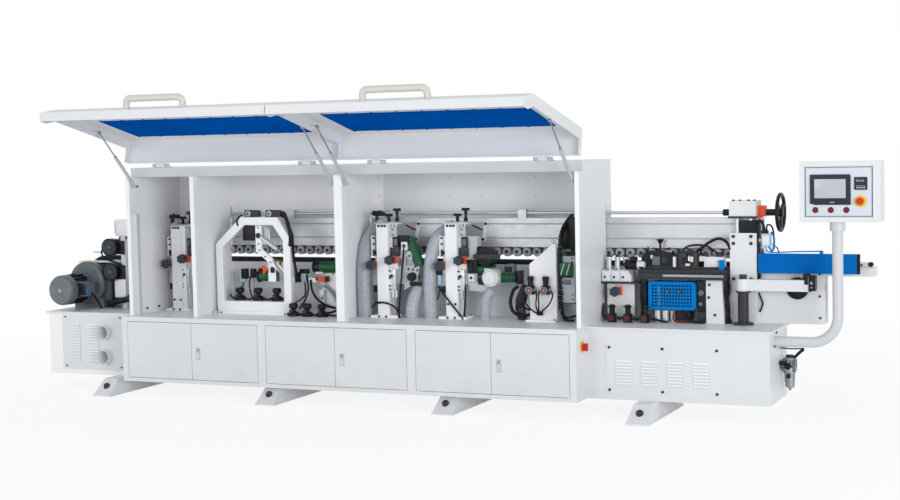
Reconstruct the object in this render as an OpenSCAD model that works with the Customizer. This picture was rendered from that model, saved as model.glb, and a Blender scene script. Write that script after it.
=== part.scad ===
// Straight-line edge banding machine: cabinets, enclosure with two lift-up lids, chain conveyor, pressure beam,
// trimming units, glue end, drive end and control panel. Millimetres, +Z up, +X towards the infeed end.
// Design frame: X = 0 at the middle of the main cabinet, Y = 0 at its front face, Z = 0 at the floor.

/* [Cabinets] */
// Length of the main cabinet
main_len = 3200; // [3150:10:3400]
// Depth of the main cabinet
main_depth = 700; // [690:5:760]
// Height of the cabinets above the feet
base_h = 430; // [380:5:480]
// Height of the foot beams
foot_h = 105; // [90:1:130]
// Length of the drive-end cabinet
left_len = 740; // [720:5:800]
// Length of the glue-end cabinet
right_len = 1095; // [1080:5:1150]
// Setback of the end cabinets' fronts
end_recess = 183; // [150:1:200]
// Setback of the end cabinets' backs
end_back = 50; // [20:1:60]
// Sheet thickness of the cabinets
sheet = 4; // [3:0.5:6]
// Overhang of the end cabinets' top plates
top_overhang = 15; // [5:1:25]
// Thickness of the end cabinets' top plates
top_plate = 12; // [8:1:16]
// Width of a foot beam at the floor
foot_w = 130; // [110:1:150]
// Reach of a foot beam in front of the main cabinet
foot_toe = 55; // [40:1:80]
// Diameter of the hole in a foot's sloped front
foot_hole_d = 44; // [30:1:50]

/* [Doors] */
// Width of the post between two bays
bay_post = 58; // [50:1:90]
// Length of the main cabinet past the outer bays
bay_end = 13; // [10:1:30]
// Height of the door leaves
door_h = 370; // [340:1:380]
// Height of the doors' lower edge above the cabinet's underside
door_low = 28; // [20:1:34]
// Thickness of a door leaf
door_t = 18; // [14:1:24]
// Gap round a door leaf
door_gap = 3; // [3:0.5:4]
// Diameter of the door pivot pins
door_pin_d = 8; // [6:1:10]

/* [Enclosure] */
// Height of the walls above the cabinet top
wall_h = 924; // [900:1:960]
// Setback of the walls' fronts
wall_front = 96; // [92:1:110]
// Thickness of the end walls
wall_t = 28; // [20:1:30]
// Thickness of the left partition
partition_1_t = 30; // [20:1:36]
// Thickness of the middle partition
partition_2_t = 56; // [40:1:60]
// Distance of the left partition from the left end
partition_1_in = 519; // [510:1:525]
// Height of the roof box
roof_h = 61; // [50:1:80]
// Setback of the roof's front edge
roof_front = 160; // [155:1:170]
// Height of the walls' rear notch above the cabinet top
notch_h = 745; // [740:1:780]

/* [Lids] */
// Angle from open to closed
lid_swing = 103.4; // [100:0.1:105]
// How far the closed lid stands in front of the main cabinet
lid_proud = 15; // [10:1:20]
// Sheet thickness of a lid
lid_sheet = 2.5; // [2:0.5:4]
// Depth of a lid's tray
lid_depth = 70; // [66:1:80]
// Height of the closed nose corner above the cabinet top
nose_h = 146; // [130:1:160]
// Gap between the two lids
lid_gap = 6; // [4:1:10]
// Margin from a lid's end to its window
window_side = 150; // [120:1:180]
// Distance from a lid's top to its window
window_top = 126; // [110:1:140]
// Height of the window
window_h = 384; // [340:1:400]
// Thickness of the window pane
window_t = 5; // [3:1:8]
// Length of a bow handle between its posts
handle_len = 410; // [360:1:440]
// Diameter of the handle tube
handle_d = 32; // [26:1:36]
// Height of the handle bar over the lid
handle_h = 65; // [55:1:75]
// Diameter of the lid hinge pins
hinge_pin_d = 12; // [10:1:14]
// Diameter of a gas spring's cylinder
spring_d = 22; // [20:1:26]
// Diameter of a gas spring's rod
spring_rod_d = 9; // [8:0.5:10]

/* [Conveyor] */
// Depth of the conveyor track
track_depth = 100; // [96:1:108]
// Height of the track's side plates above the cabinet top
track_h = 325; // [318:1:328]
// Thickness of the track's side plates
track_plate = 8; // [6:1:10]
// Working height of the chain pads above the cabinet top
chain_z = 358; // [355:1:362]
// Thickness of the chain pads
pad_t = 28; // [24:1:29]
// Width of the chain pads
pad_w = 68; // [60:1:72]
// Distance from pad to pad
pad_pitch = 62; // [58:1:70]
// Number of teeth on the sprockets
sprocket_teeth = 16; // [14:1:20]
// Diameter of the sprocket shafts
shaft_d = 40; // [34:1:44]
// Height of the sprocket axes above the cabinet top
sprocket_z = 211; // [208:1:214]

/* [Pressure beam] */
// Gap between the chain pads and the pressure rollers in the photo
board_gap = 22; // [18:1:26]
// Diameter of a pressure roller
roller_d = 60; // [56:1:62]
// Width of a pressure roller
roller_w = 46; // [40:1:48]
// Distance from roller to roller
roller_pitch = 68; // [66:1:74]
// Height of the pressure beam
beam_h = 183; // [176:1:190]
// Depth of the pressure beam
beam_depth = 85; // [80:1:90]
// Width of a lift column
column_w = 160; // [150:1:165]
// Depth of a lift column
column_d = 46; // [42:1:50]
// Height of a lift column above the cabinet top
column_h = 537; // [520:1:545]
// Diameter of a lift guide post
post_d = 28; // [24:1:30]
// Diameter of the lift shaft
lift_shaft_d = 20; // [18:1:22]
// Outside diameter of the handwheel
handwheel_d = 234; // [210:1:250]

/* [Units] */
// Width of a unit column
unit_w = 80; // [70:1:90]
// Depth of a unit column
unit_d = 100; // [90:1:105]
// Height of the trimming columns above the cabinet top
unit_h = 597; // [585:1:605]
// Radius of a star knob
knob_r = 30; // [26:1:32]
// Edge of an orange counter
counter_s = 50; // [46:1:54]
// Width of the corner-rounding arch's bars
arch_bar = 52; // [46:1:56]

/* [Control panel] */
// Width of the control box
panel_w = 446; // [430:1:460]
// Height of the control box
panel_h = 339; // [330:1:345]
// Depth of the control box
panel_d = 140; // [130:1:150]
// Diameter of the bent post
post_tube_d = 60; // [54:1:64]
// Radius of the post's bend
post_bend_r = 150; // [130:1:170]
// Diameter of a push button
button_d = 22; // [20:1:24]

/* [Hidden] */
$fn = 48;

paint = [0.88, 0.885, 0.89];
slate = [0.16, 0.18, 0.2];
steel = [0.62, 0.64, 0.66];
blue = [0, 0.36, 0.7];
green = [0.06, 0.32, 0.18];
orange = [0.93, 0.34, 0.15];
cream = [0.9, 0.88, 0.82];

// Clearances: running fits, free air beside moving pieces, faces that only just part
fit = 0.05;
air = 0.5;

base_top = foot_h + base_h;
xl = -main_len / 2;
xr = main_len / 2;
bay_pitch = (main_len - 2 * bay_end) / 3;
bay_w = bay_pitch - bay_post;
partition_1_x = xl + partition_1_in;
xd = xl - left_len;
xe = xr + right_len;
end_rear = main_depth - end_back;

// Feet
foot_flange = 12;
foot_taper = 12;
foot_top_front = 60;
foot_rear = main_depth - 10;
foot_wall = 8;
foot_xs = [xl - 144, xl + 1115, xr - 847, xr + 380];

// Doors
door_z0 = foot_h + door_low;
door_z1 = door_z0 + door_h;
door_edge = 6;
pin_reach = 10;
door_frame = door_t + 6;
latch_z = door_z0 + 173;

// Enclosure
wall_top = base_top + wall_h;
roof_top = wall_top + roof_h;
roof_rear = main_depth - 10;
notch_z = base_top + notch_h;

// Lid outline, closed, in Y and Z
lid_top = roof_top - 10;
lid_front = -lid_proud;
nose_z = base_top + nose_h;
lip_z = base_top + 18.6;
lip_y = lid_front + 50;
lip_in = wall_front - 8;
leg_y = roof_front - 11;
leg_depth = lid_top - wall_top - 4;
hinge_y = roof_front;
hinge_z = roof_top + 14;
knuckle_r = 12;
knuckle_len = 60;
lid_len = main_len / 2 - lid_gap / 2;
hinge_in = 245;

// Gas springs: the lower stud on the walls and the upper stud on the lid
spring_y = 128;
spring_z = base_top + 865;
stud_y = lid_front + 50.8;
stud_z = lid_top - 416.8;
stud_d = 12;
eye_d = 20;
eye_w = 17;
spring_in = wall_t + 22;
function about_hinge(p, a) = [
    hinge_y + cos(a) * (p[0] - hinge_y) - sin(a) * (p[1] - hinge_z),
    hinge_z + sin(a) * (p[0] - hinge_y) + cos(a) * (p[1] - hinge_z)];
stud_open = about_hinge([stud_y, stud_z], -lid_swing);
spring_dy = stud_open[0] - spring_y;
spring_dz = stud_open[1] - spring_z;
spring_len = sqrt(spring_dy * spring_dy + spring_dz * spring_dz);
spring_angle = atan2(spring_dz, spring_dy);
spring_closed = norm([stud_y - spring_y, stud_z - spring_z]);
cylinder_len = spring_closed - 36;
rod_len = spring_closed - 56;

// Conveyor
yt = main_depth - track_depth - 10;
y_back = yt + track_depth;
pad_y0 = yt + (track_depth - pad_w) / 2;
drive_x = xd + 180;
idler_x = xe + 78;
loop_r = chain_z - sprocket_z;
loop_in = loop_r - pad_t;
sprocket_w = 36;
axis_z = base_top + sprocket_z;
track_end = idler_x + loop_r + 11;
guide_t = 24;
rail_len = 285;

// Pressure beam
roller_z = base_top + chain_z + board_gap + roller_d / 2;
beam_z0 = roller_z + roller_d / 2 + 2;
beam_z1 = beam_z0 + beam_h;
beam_y0 = yt + 5;
beam_x0 = xl + wall_t + 14;
beam_x1 = xe - 135;
hanger_y = beam_y0 + 62;
roller_y1 = hanger_y - 1;
column_y1 = yt - 1;
column_y0 = column_y1 - column_d;
column_xs = [beam_x0 + 212, xe - 312];
post_in = 40;
post_y = (column_y0 + column_y1) / 2;
head_plate = 12;
head_h = 90;
head_y0 = column_y0 - 12;
shaft_z = beam_z1 + 32;
shaft_y = yt + 10;
wheel_x = xe - 21;

// Unit places: front left corner of each trimming column
fine_at = [140, yt - 245];
rough_at = [608, yt - 220];
scrape_at = [xl + 122, yt - 160];
unit_foot = 16;
stand_y = yt - 90;
arch_y0 = yt - 250;
arch_t = 30;
spindle_d = 12;
knob_t = 40;
knob_air = 14;
counter_depth = 38;
// Counter centres: X, front Y, height above the cabinet top
function counter_pair(at, z0, z1) = [
    [at[0] - counter_s / 2, at[1], z0], [at[0] + unit_w + counter_s / 2, at[1], z1]];
scrape_counters = counter_pair(scrape_at, 322, 358);
fine_counters = counter_pair(fine_at, 338, 372);
rough_counters = counter_pair(rough_at, 338, 372);
glue_counter = [xr + 100, stand_y + 9 - counter_depth, 185];
all_counters = concat(scrape_counters, fine_counters, rough_counters, [glue_counter]);

// Glue end
table_z = base_top + 260;
tape_post_at = [xe - 220, yt - 108];
tape_post_d = 64;
arm_z0 = base_top + 201;
arm_h = 70;

// Control panel
box_x0 = xe + 162;
box_x1 = box_x0 + panel_w;
box_y0 = 240;
box_z0 = base_top + 618;
post_x = box_x0 + 199;
tube_y = box_y0 + panel_d / 2;
tube_z = base_top - 70;
face_in = 10;
face_y = box_y0 + face_in;
button_xs = [88, 173, 259];
button_z = box_z0 + 68;
estop_at = [336, 117];

// Drive end
motor_r = 104;
reducer_r = 150;
flange_r = motor_r + 14;
motor_x = xd + 88;
motor_z = base_top + 143;
motor_y1 = yt - 160;
motor_y0 = motor_y1 - 230;

// The part stands with its box centred over the origin
lip_open = about_hinge([lip_in, lip_z + 4.5], -lid_swing);
lip_tip = about_hinge([lip_y, lip_z], -lid_swing);
x_low = min(xd - top_overhang, motor_x - flange_r);
y_low = min(lip_open[0], lip_tip[0]);
y_high = max(main_depth, shaft_y + handwheel_d / 2);
centre_x = (x_low + box_x1) / 2;
centre_y = (y_low + y_high) / 2;
module place() translate([-centre_x, -centre_y, 0]) children();

// Basic shapes given by their corners or axes
module block(lo, hi) translate(lo) cube(hi - lo);
module rod_x(d, x0, x1, y, z) translate([x0, y, z]) rotate([0, 90, 0]) cylinder(d = d, h = x1 - x0);
module rod_y(d, x, y0, y1, z) translate([x, y1, z]) rotate([90, 0, 0]) cylinder(d = d, h = y1 - y0);
module rod_z(d, x, y, z0, z1) translate([x, y, z0]) cylinder(d = d, h = z1 - z0);
module sheet_x(points, x0, x1) translate([x0, 0, 0]) rotate([90, 0, 90]) linear_extrude(x1 - x0) polygon(points);
module turned_y(x, y, z, points) translate([x, y, z]) rotate([-90, 0, 0]) rotate_extrude() polygon(points);
module sheet_y(points, y0, y1) translate([0, y1, 0]) rotate([90, 0, 0]) linear_extrude(y1 - y0) polygon(points);

// Cabinets
module leaf_pivot(bay, side) {
    translate([bay * bay_pitch + side * (bay_w / 2 - door_gap - door_edge), door_edge, 0]) children();
}

module main_base() color(paint) difference() {
    block([xl, 0, foot_h], [xr, main_depth, base_top]);
    for (bay = [-1:1]) {
        c = bay * bay_pitch;
        half = (bay_pitch - sheet) / 2;
        block([c - bay_w / 2, -1, door_z0 - door_gap], [c + bay_w / 2, door_frame + 1, door_z1 + door_gap]);
        block([c - half, door_frame, foot_h + sheet], [c + half, main_depth - sheet, base_top - 2 * sheet]);
        for (side = [-1, 1])
            leaf_pivot(bay, side)
                rod_z(door_pin_d + 2 * fit, 0, 0, door_z0 - pin_reach - 1, door_z1 + pin_reach + 1);
    }
    rod_x(spindle_d + 2 * fit, xr - 60, xr + 1, 104, base_top - 113);
}

module door(bay, side) color(paint) {
    c = bay * bay_pitch;
    outer = c + side * (bay_w / 2 - door_gap);
    inner = c + side * door_gap / 2;
    x0 = min(outer, inner);
    x1 = max(outer, inner);
    leaf_pivot(bay, side) rod_z(door_pin_d, 0, 0, door_z0 - pin_reach, door_z1 + pin_reach);
    difference() {
        block([x0, 0, door_z0], [x1, door_t, door_z1]);
        block([x0 + 14, 2.5, door_z0 + 14], [x1 - 14, door_t + 1, door_z1 - 14]);
    }
    if (side > 0) {
        block([x0 + 36, -3, latch_z - 38], [x0 + 64, 0.5, latch_z + 38]);
        block([x0 + 41, -7, latch_z - 30], [x0 + 59, -2, latch_z + 6]);
    }
}

module end_cabinet(x0, x1, over0, over1, vent0, vent1, vent_z0, vent_z1) {
    inner_top = base_top - top_plate;
    difference() {
        union() {
            block([x0, end_recess, foot_h], [x1, end_rear, inner_top + 1]);
            block([x0 - over0, end_recess - top_overhang, inner_top], [x1 + over1, end_rear + top_overhang, base_top]);
        }
        block([x0 + sheet, end_recess + sheet, foot_h + sheet], [x1 - sheet, end_rear - sheet, inner_top]);
        block([vent0, end_recess - 1, vent_z0], [vent1, end_recess + sheet + 1, vent_z1]);
    }
}

vent_margin = 30;
left_vent = [xd + 110, xl - 117, foot_h + 33, base_top - 20];
right_vent = [xr + 120, xe - 277, foot_h + 33, base_top - 100];

module left_base() color(paint)
    end_cabinet(xd, xl, top_overhang, 0, left_vent[0] + vent_margin, left_vent[1] - vent_margin,
        left_vent[2] + vent_margin, left_vent[3] - vent_margin);

module right_base() color(paint) difference() {
    end_cabinet(xr, xe, 0, top_overhang, right_vent[0] + vent_margin, right_vent[1] - vent_margin,
        right_vent[2] + vent_margin, right_vent[3] - vent_margin);
    rod_x(post_tube_d + 2 * fit, xe - sheet - 1, xe + 1, tube_y, tube_z);
}

module feet() color(paint) for (x = foot_xs) {
    slope = [-foot_toe - foot_top_front, foot_flange - foot_h];
    tilt = atan2(foot_top_front + foot_toe, foot_h - foot_flange);
    difference() {
        intersection() {
            sheet_x([[-foot_toe, foot_flange], [foot_rear, foot_flange], [foot_rear, foot_h],
                [foot_top_front, foot_h]], x - foot_w / 2, x + foot_w / 2);
            sheet_y([[x - foot_w / 2, foot_flange], [x + foot_w / 2, foot_flange],
                [x + foot_w / 2 - foot_taper, foot_h], [x - foot_w / 2 + foot_taper, foot_h]],
                -foot_toe - 1, foot_rear + 1);
        }
        block([x - foot_w / 2 + 24, foot_top_front + 12, foot_flange - 1],
            [x + foot_w / 2 - 24, foot_rear - foot_wall, foot_h - foot_wall]);
        translate([x, (foot_top_front - foot_toe) / 2, (foot_h + foot_flange) / 2]) rotate([-tilt, 0, 0])
            translate([0, -50, 0]) rotate([-90, 0, 0]) cylinder(d = foot_hole_d, h = 70);
    }
    difference() {
        block([x - foot_w / 2 - 4, -foot_toe - 6, 0], [x + foot_w / 2 + 4, foot_rear, foot_flange]);
        block([x - foot_w / 2 + 24, foot_top_front + 12, -1], [x + foot_w / 2 - 24, foot_rear - foot_wall, foot_flange + 1]);
    }
}

// Vent panels: sheets with pressed louvres, and the plate with the two dust ports beside the left one
panel_t = 3;
louvre_h = 14;
louvre_out = 7;
port_d = 100;
port_wall = 3;
port_len = 46;
port_x = xl - 270;
port_zs = [foot_h + 128, foot_h + 297];
left_louvres = [[xd + 184, xd + 260], [xd + 319, xd + 415]];
right_louvres = [for (i = [0:3]) [xr + 185 + i * 155.5, xr + 281 + i * 155.5]];

module louvre(x0, x1, z) {
    y = end_recess - panel_t;
    sheet_x([[y + 1, z + louvre_h], [y, z + louvre_h], [y - louvre_out, z + 3], [y - louvre_out, z],
        [y - louvre_out + 2, z], [y + 1, z + louvre_h - 3]], x0, x1);
}

module louvred_sheet(v, groups, z0, pitch, count) {
    difference() {
        block([v[0], end_recess - panel_t, v[2]], [v[1], end_recess, v[3]]);
        for (g = groups, i = [0:count - 1])
            block([g[0] + 1, end_recess - panel_t - 1, z0 + i * pitch], [g[1] - 1, end_recess + 1, z0 + i * pitch + 8]);
    }
    for (g = groups, i = [0:count - 1]) louvre(g[0], g[1], z0 + i * pitch);
}

plate_seam = 0.05;
port_plate_x = port_x - port_d / 2 - 2;

module vent_panels() color(paint) {
    louvred_sheet([left_vent[0], port_plate_x - plate_seam, left_vent[2], left_vent[3]], left_louvres, foot_h + 92, 20.5, 13);
    louvred_sheet(right_vent, right_louvres, foot_h + 90, 19, 8);
}

module dust_ports() color(paint) {
    y = end_recess - panel_t;
    difference() {
        block([port_plate_x, y, left_vent[2]], [left_vent[1], end_recess, left_vent[3]]);
        for (z = port_zs) rod_y(port_d - 2 * port_wall, port_x, y - 1, end_recess + 1, z);
    }
    for (z = port_zs) difference() {
        rod_y(port_d, port_x, end_recess - port_len, y - plate_seam, z);
        rod_y(port_d - 2 * port_wall, port_x, end_recess - port_len - 1, y + 1, z);
    }
}

// Enclosure
module wall(x0, x1) {
    sheet_x([[wall_front, base_top], [yt - 8, base_top], [yt - 8, notch_z], [roof_rear, notch_z],
        [roof_rear, wall_top], [wall_front, wall_top]], x0, x1);
}

// Partition: a sheet with a folded front edge
fold_depth = 56;
module partition(x, t) {
    x0 = x - t / 2;
    x1 = x + t / 2;
    wall(x0, x0 + sheet);
    block([x0, wall_front, base_top], [x1, wall_front + sheet, wall_top]);
    block([x1 - sheet, wall_front, base_top], [x1, wall_front + fold_depth, wall_top]);
}

module walls() {
    wall(xl, xl + wall_t);
    partition(partition_1_x, partition_1_t);
    partition(0, partition_2_t);
    wall(xr - wall_t, xr);
}

module roof() {
    difference() {
        block([xl, roof_front, wall_top], [xr, roof_rear, roof_top]);
        for (s = [[xl + wall_t, -partition_2_t / 2], [partition_2_t / 2, xr - wall_t]])
            block([s[0], roof_front + 3, wall_top - 1], [s[1], roof_rear - 3, roof_top - 3]);
    }
    block([xl, roof_rear, beam_z1 - 10], [xr, roof_rear + 3, roof_top]);
}

module enclosure() color(paint) {
    walls();
    roof();
}

// Lids
lid_xs = [[xl, -lid_gap / 2], [lid_gap / 2, xr]];
function hinge_xs(l) = [l[0] + hinge_in, l[1] - hinge_in];
function spring_xs(l) = l[0] < 0 ? [xl + spring_in, -partition_2_t / 2 - 22] : [partition_2_t / 2 + 22, xr - spring_in];

module open_lid() translate([0, hinge_y, hinge_z]) rotate([-lid_swing, 0, 0]) translate([0, -hinge_y, -hinge_z])
    children();

module lid_skin(x0, x1) sheet_x([
    [lip_in, lip_z + 4.5], [lip_y, lip_z], [lid_front, nose_z], [lid_front, lid_top], [leg_y, lid_top],
    [leg_y, lid_top - lid_sheet], [lid_front + lid_sheet, lid_top - lid_sheet],
    [lid_front + lid_sheet, nose_z + 1], [lip_y + 0.6 * lid_sheet, lip_z + lid_sheet],
    [lip_in, lip_z + 4.5 + lid_sheet]], x0, x1);

module lid_end(x0) sheet_x([
    [lip_in, lip_z + 4.5], [lip_y, lip_z], [lid_front, nose_z], [lid_front, lid_top], [leg_y, lid_top],
    [leg_y, lid_top - leg_depth], [lid_front + lid_depth, lid_top - leg_depth],
    [lid_front + lid_depth, nose_z + 20], [lip_in, lip_z + 70]], x0, x0 + lid_sheet);

module lid(l) color(paint) open_lid() difference() {
    union() {
        lid_skin(l[0], l[1]);
        lid_end(l[0]);
        lid_end(l[1] - lid_sheet);
        for (x = hinge_xs(l)) {
            rod_x(2 * knuckle_r, x - knuckle_len / 2, x + knuckle_len / 2, hinge_y, hinge_z);
            sheet_x([[leg_y - 40, lid_top - 1], [leg_y, lid_top - 1], [hinge_y, hinge_z - knuckle_r + 1],
                [hinge_y, hinge_z + knuckle_r - 1], [leg_y - 40, lid_top + 8]], x - knuckle_len / 2, x + knuckle_len / 2);
        }
        for (s = spring_xs(l)) {
            left_end = abs(s - l[0]) < abs(s - l[1]);
            rod_x(stud_d, left_end ? l[0] + 1 : s + eye_w / 2 + air, left_end ? s - eye_w / 2 - air : l[1] - 1,
                stud_y, stud_z);
        }
    }
    block([l[0] + window_side, lid_front - 1, lid_top - window_top - window_h],
        [l[1] - window_side, lid_front + lid_sheet + 1, lid_top - window_top]);
    for (x = hinge_xs(l))
        rod_x(hinge_pin_d + 2 * fit, x - knuckle_len / 2 - 1, x + knuckle_len / 2 + 1, hinge_y, hinge_z);
}

window_lap = 18;
module window(l) color([0, 0.3, 0.62]) open_lid()
    block([l[0] + window_side - window_lap, lid_front + lid_sheet, lid_top - window_top - window_h - window_lap],
        [l[1] - window_side + window_lap, lid_front + lid_sheet + window_t, lid_top - window_top + window_lap]);

// Bow handle on the lid's sloped nose
nose_tilt = atan2(lip_z - nose_z, lip_y - lid_front);
elbow_r = 34;
module handle(l) color(cream) open_lid()
    translate([(l[0] + l[1]) / 2, (lip_y + lid_front) / 2, (lip_z + nose_z) / 2]) rotate([nose_tilt + 180, 0, 0]) {
        for (side = [-1, 1]) {
            translate([side * handle_len / 2, 0, 0]) cylinder(d = handle_d, h = handle_h - elbow_r);
            translate([side * handle_len / 2, 0, 0]) cylinder(d = handle_d + 10, h = 6);
            translate([side * (handle_len / 2 - elbow_r), 0, handle_h - elbow_r]) rotate([90, 0, 90 - side * 90])
                rotate_extrude(angle = 90) translate([elbow_r, 0]) circle(d = handle_d);
        }
        rod_x(handle_d, -handle_len / 2 + elbow_r, handle_len / 2 - elbow_r, 0, handle_h);
    }

// Fixed halves of the lid hinges with their pins, and the gas springs' lower studs
module lid_fittings() color(steel) {
    side_len = 30;
    for (l = lid_xs, x = hinge_xs(l)) {
        for (side = [-1, 1]) {
            near = x + side * (knuckle_len / 2 + air);
            far = near + side * side_len;
            x0 = min(near, far);
            x1 = max(near, far);
            rod_x(2 * knuckle_r, x0, x1, hinge_y, hinge_z);
            block([x0, hinge_y, roof_top], [x1, hinge_y + 44, roof_top + 6]);
        }
        rod_x(hinge_pin_d, x - knuckle_len / 2 - side_len - air, x + knuckle_len / 2 + side_len + air, hinge_y, hinge_z);
    }
    for (s = [[xl + wall_t, xl + spring_in], [-partition_2_t / 2, -partition_2_t / 2 - 22],
            [partition_2_t / 2, partition_2_t / 2 + 22], [xr - wall_t, xr - spring_in]]) {
        out = s[1] > s[0] ? 1 : -1;
        tip = s[1] + out * eye_w / 2;
        rod_x(stud_d, min(s[0], tip), max(s[0], tip), spring_y, spring_z);
        rod_x(2 * stud_d, min(s[0], s[0] + out * 6), max(s[0], s[0] + out * 6), spring_y, spring_z);
    }
}

module spring_frame(x) translate([x, spring_y, spring_z]) rotate([spring_angle, 0, 0]) children();

gland_len = 10;
piston_len = 8;
bore_d = spring_d - 5;
module spring_cylinders(l) color(slate) for (x = spring_xs(l)) spring_frame(x) difference() {
    union() {
        rod_x(eye_d, -eye_w / 2, eye_w / 2, 0, 0);
        rod_y(14, 0, 2, 30, 0);
        rod_y(spring_d, 0, 22, cylinder_len, 0);
    }
    rod_x(stud_d + 2 * fit, -eye_w, eye_w, 0, 0);
    rod_y(bore_d, 0, 34, cylinder_len - gland_len, 0);
    rod_y(spring_rod_d + 2 * fit, 0, cylinder_len - gland_len - 1, cylinder_len + 1, 0);
}

module spring_rods(l) color(steel) for (x = spring_xs(l)) spring_frame(x) {
    rod_x(eye_d, -eye_w / 2, eye_w / 2, spring_len, 0);
    rod_y(spring_rod_d, 0, spring_len - rod_len, spring_len - 4, 0);
    rod_y(bore_d - 2 * fit, 0, spring_len - rod_len, spring_len - rod_len + piston_len, 0);
}

// Conveyor
module conveyor_track() color(paint) difference() {
    union() {
        for (y = [yt, y_back - track_plate])
            block([drive_x - loop_r - 6, y, base_top], [track_end, y + track_plate, base_top + track_h]);
        block([xd + 40, yt + 1, base_top], [xe, y_back - 1, base_top + 10]);
        block([drive_x + 90, yt + 1, base_top + chain_z - pad_t - guide_t - air],
            [idler_x - 90, y_back - 1, base_top + chain_z - pad_t - air]);
        block([track_end - 6, yt + 1, base_top + track_h - 41], [track_end + rail_len, y_back - 1, base_top + track_h + 11]);
        block([drive_x - loop_r - 6, yt - 90, base_top + track_h - 8], [drive_x + 232, yt + 1, base_top + track_h]);
        rod_y(2 * 65, idler_x, yt - 14, yt + 1, axis_z);
    }
    for (x = [drive_x, idler_x]) rod_y(shaft_d + 2 * fit, x, yt - 12, y_back + 1, axis_z);
    block([track_end + 20, yt + 30, base_top + track_h - 42], [track_end + rail_len - 20, y_back - 30, base_top + track_h + 12]);
}

pads = floor((idler_x - drive_x) / pad_pitch);
pad_groove = 10;
pad_slit = 4;
pad_start = (drive_x + idler_x - pads * pad_pitch) / 2;
module conveyor_chain() color(slate) {
    z1 = base_top + chain_z;
    sheet_y(concat([[idler_x, z1 - pad_t], [drive_x, z1 - pad_t], [drive_x, z1]],
        [for (i = [0:pads]) each [[pad_start + i * pad_pitch - pad_slit / 2, z1],
            [pad_start + i * pad_pitch - pad_slit / 2, z1 - pad_groove],
            [pad_start + i * pad_pitch + pad_slit / 2, z1 - pad_groove],
            [pad_start + i * pad_pitch + pad_slit / 2, z1]]],
        [[idler_x, z1]]), pad_y0, pad_y0 + pad_w);
    block([drive_x, pad_y0, axis_z - loop_r], [idler_x, pad_y0 + pad_w, axis_z - loop_in]);
    for (e = [[drive_x, 90], [idler_x, -90]])
        translate([e[0], pad_y0 + pad_w, axis_z]) rotate([90, 0, 0]) rotate([0, 0, e[1]])
            rotate_extrude(angle = 180, $fn = 72) translate([loop_in, 0]) square([pad_t, pad_w]);
}

tooth_h = 9;
module sprocket(x, y0, y1) {
    tip = loop_in - air;
    step = 360 / sprocket_teeth;
    points = [for (i = [0:sprocket_teeth - 1]) each [
        (tip - tooth_h) * [cos(i * step - 0.3 * step), sin(i * step - 0.3 * step)],
        tip * [cos(i * step - 0.12 * step), sin(i * step - 0.12 * step)],
        tip * [cos(i * step + 0.12 * step), sin(i * step + 0.12 * step)],
        (tip - tooth_h) * [cos(i * step + 0.3 * step), sin(i * step + 0.3 * step)]]];
    mid = yt + track_depth / 2;
    translate([x, mid + sprocket_w / 2, axis_z]) rotate([90, 0, 0]) linear_extrude(sprocket_w) polygon(points);
    rod_y(shaft_d, x, y0, y1, axis_z);
    rod_y(shaft_d + 24, x, yt + track_plate + air, y_back - track_plate - air, axis_z);
}
module drive_sprocket() color(steel) sprocket(drive_x, yt - 70, y_back - 0.5);
module idler_sprocket() color(steel) sprocket(idler_x, yt - 11, y_back - 0.5);

// Drive end
reducer_y0 = motor_y1;
reducer_y1 = yt - 8;
module gear_motor() color([0.42, 0.45, 0.46]) {
    difference() {
        union() {
            rod_y(200, drive_x, reducer_y0 + 34, reducer_y1, axis_z);
            turned_y((motor_x + drive_x) / 2, reducer_y0, (motor_z + axis_z) / 2, [[0, 0], [reducer_r - 26, 0],
                [reducer_r - 6, 8], [reducer_r, 18], [reducer_r, 42], [reducer_r - 8, 46], [reducer_r - 20, 78], [0, 78]]);
            block([motor_x - 70, reducer_y0 + 20, base_top], [drive_x + 90, reducer_y1 - 12, base_top + 70]);
            block([drive_x + 30, reducer_y0 + 46, base_top + 18], [drive_x + 124, reducer_y1 - 12, axis_z - 10]);
            for (y = [reducer_y0 + 52:22:reducer_y1 - 24])
                block([drive_x + 123, y, base_top + 26], [drive_x + 134, y + 7, axis_z - 26]);
            rod_y(96, drive_x, reducer_y1 - 1, yt - 0.5, axis_z);
        }
        rod_y(shaft_d + 2 * fit, drive_x, yt - 71, yt + 1, axis_z);
    }
    turned_y(motor_x, motor_y0, motor_z, [[0, 0], [motor_r - 20, 0], [motor_r - 6, 5], [motor_r, 18], [motor_r, 66], [0, 66]]);
    rod_y(2 * motor_r - 16, motor_x, motor_y0 + 66, motor_y1 - 16, motor_z);
    rod_y(2 * flange_r, motor_x, motor_y1 - 17, motor_y1 + 1, motor_z);
    for (a = [20:20:340])
        translate([motor_x, motor_y0 + 70, motor_z]) rotate([0, a, 0])
            block([-3, 0, motor_r - 20], [3, motor_y1 - motor_y0 - 88, motor_r + 2]);
    block([motor_x + motor_r - 20, motor_y0 + 84, motor_z - 44], [motor_x + motor_r + 62, motor_y0 + 176, motor_z + 50]);
}

buff_x = xd + 355;
buff_y = yt - 175;
buff_zs = [base_top + 259, base_top + 431];
buff_r = 60;
module buffing_unit() color(slate) {
    block([buff_x + 65, buff_y + 47, base_top], [buff_x + 101, yt - 1, base_top + 505]);
    block([buff_x + 35, buff_y + 67, base_top + 505], [buff_x + 123, buff_y + 151, base_top + 618]);
    for (z = buff_zs) {
        turned_y(buff_x, buff_y, z, [[0, 0], [buff_r - 10, 0], [buff_r - 2, 4], [buff_r, 10], [buff_r, 47], [buff_r - 6, 49],
            [buff_r - 6, 130], [0, 130]]);
        block([buff_x, buff_y + 55, z - 48], [buff_x + 66, buff_y + 125, z + 48]);
    }
}

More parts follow.
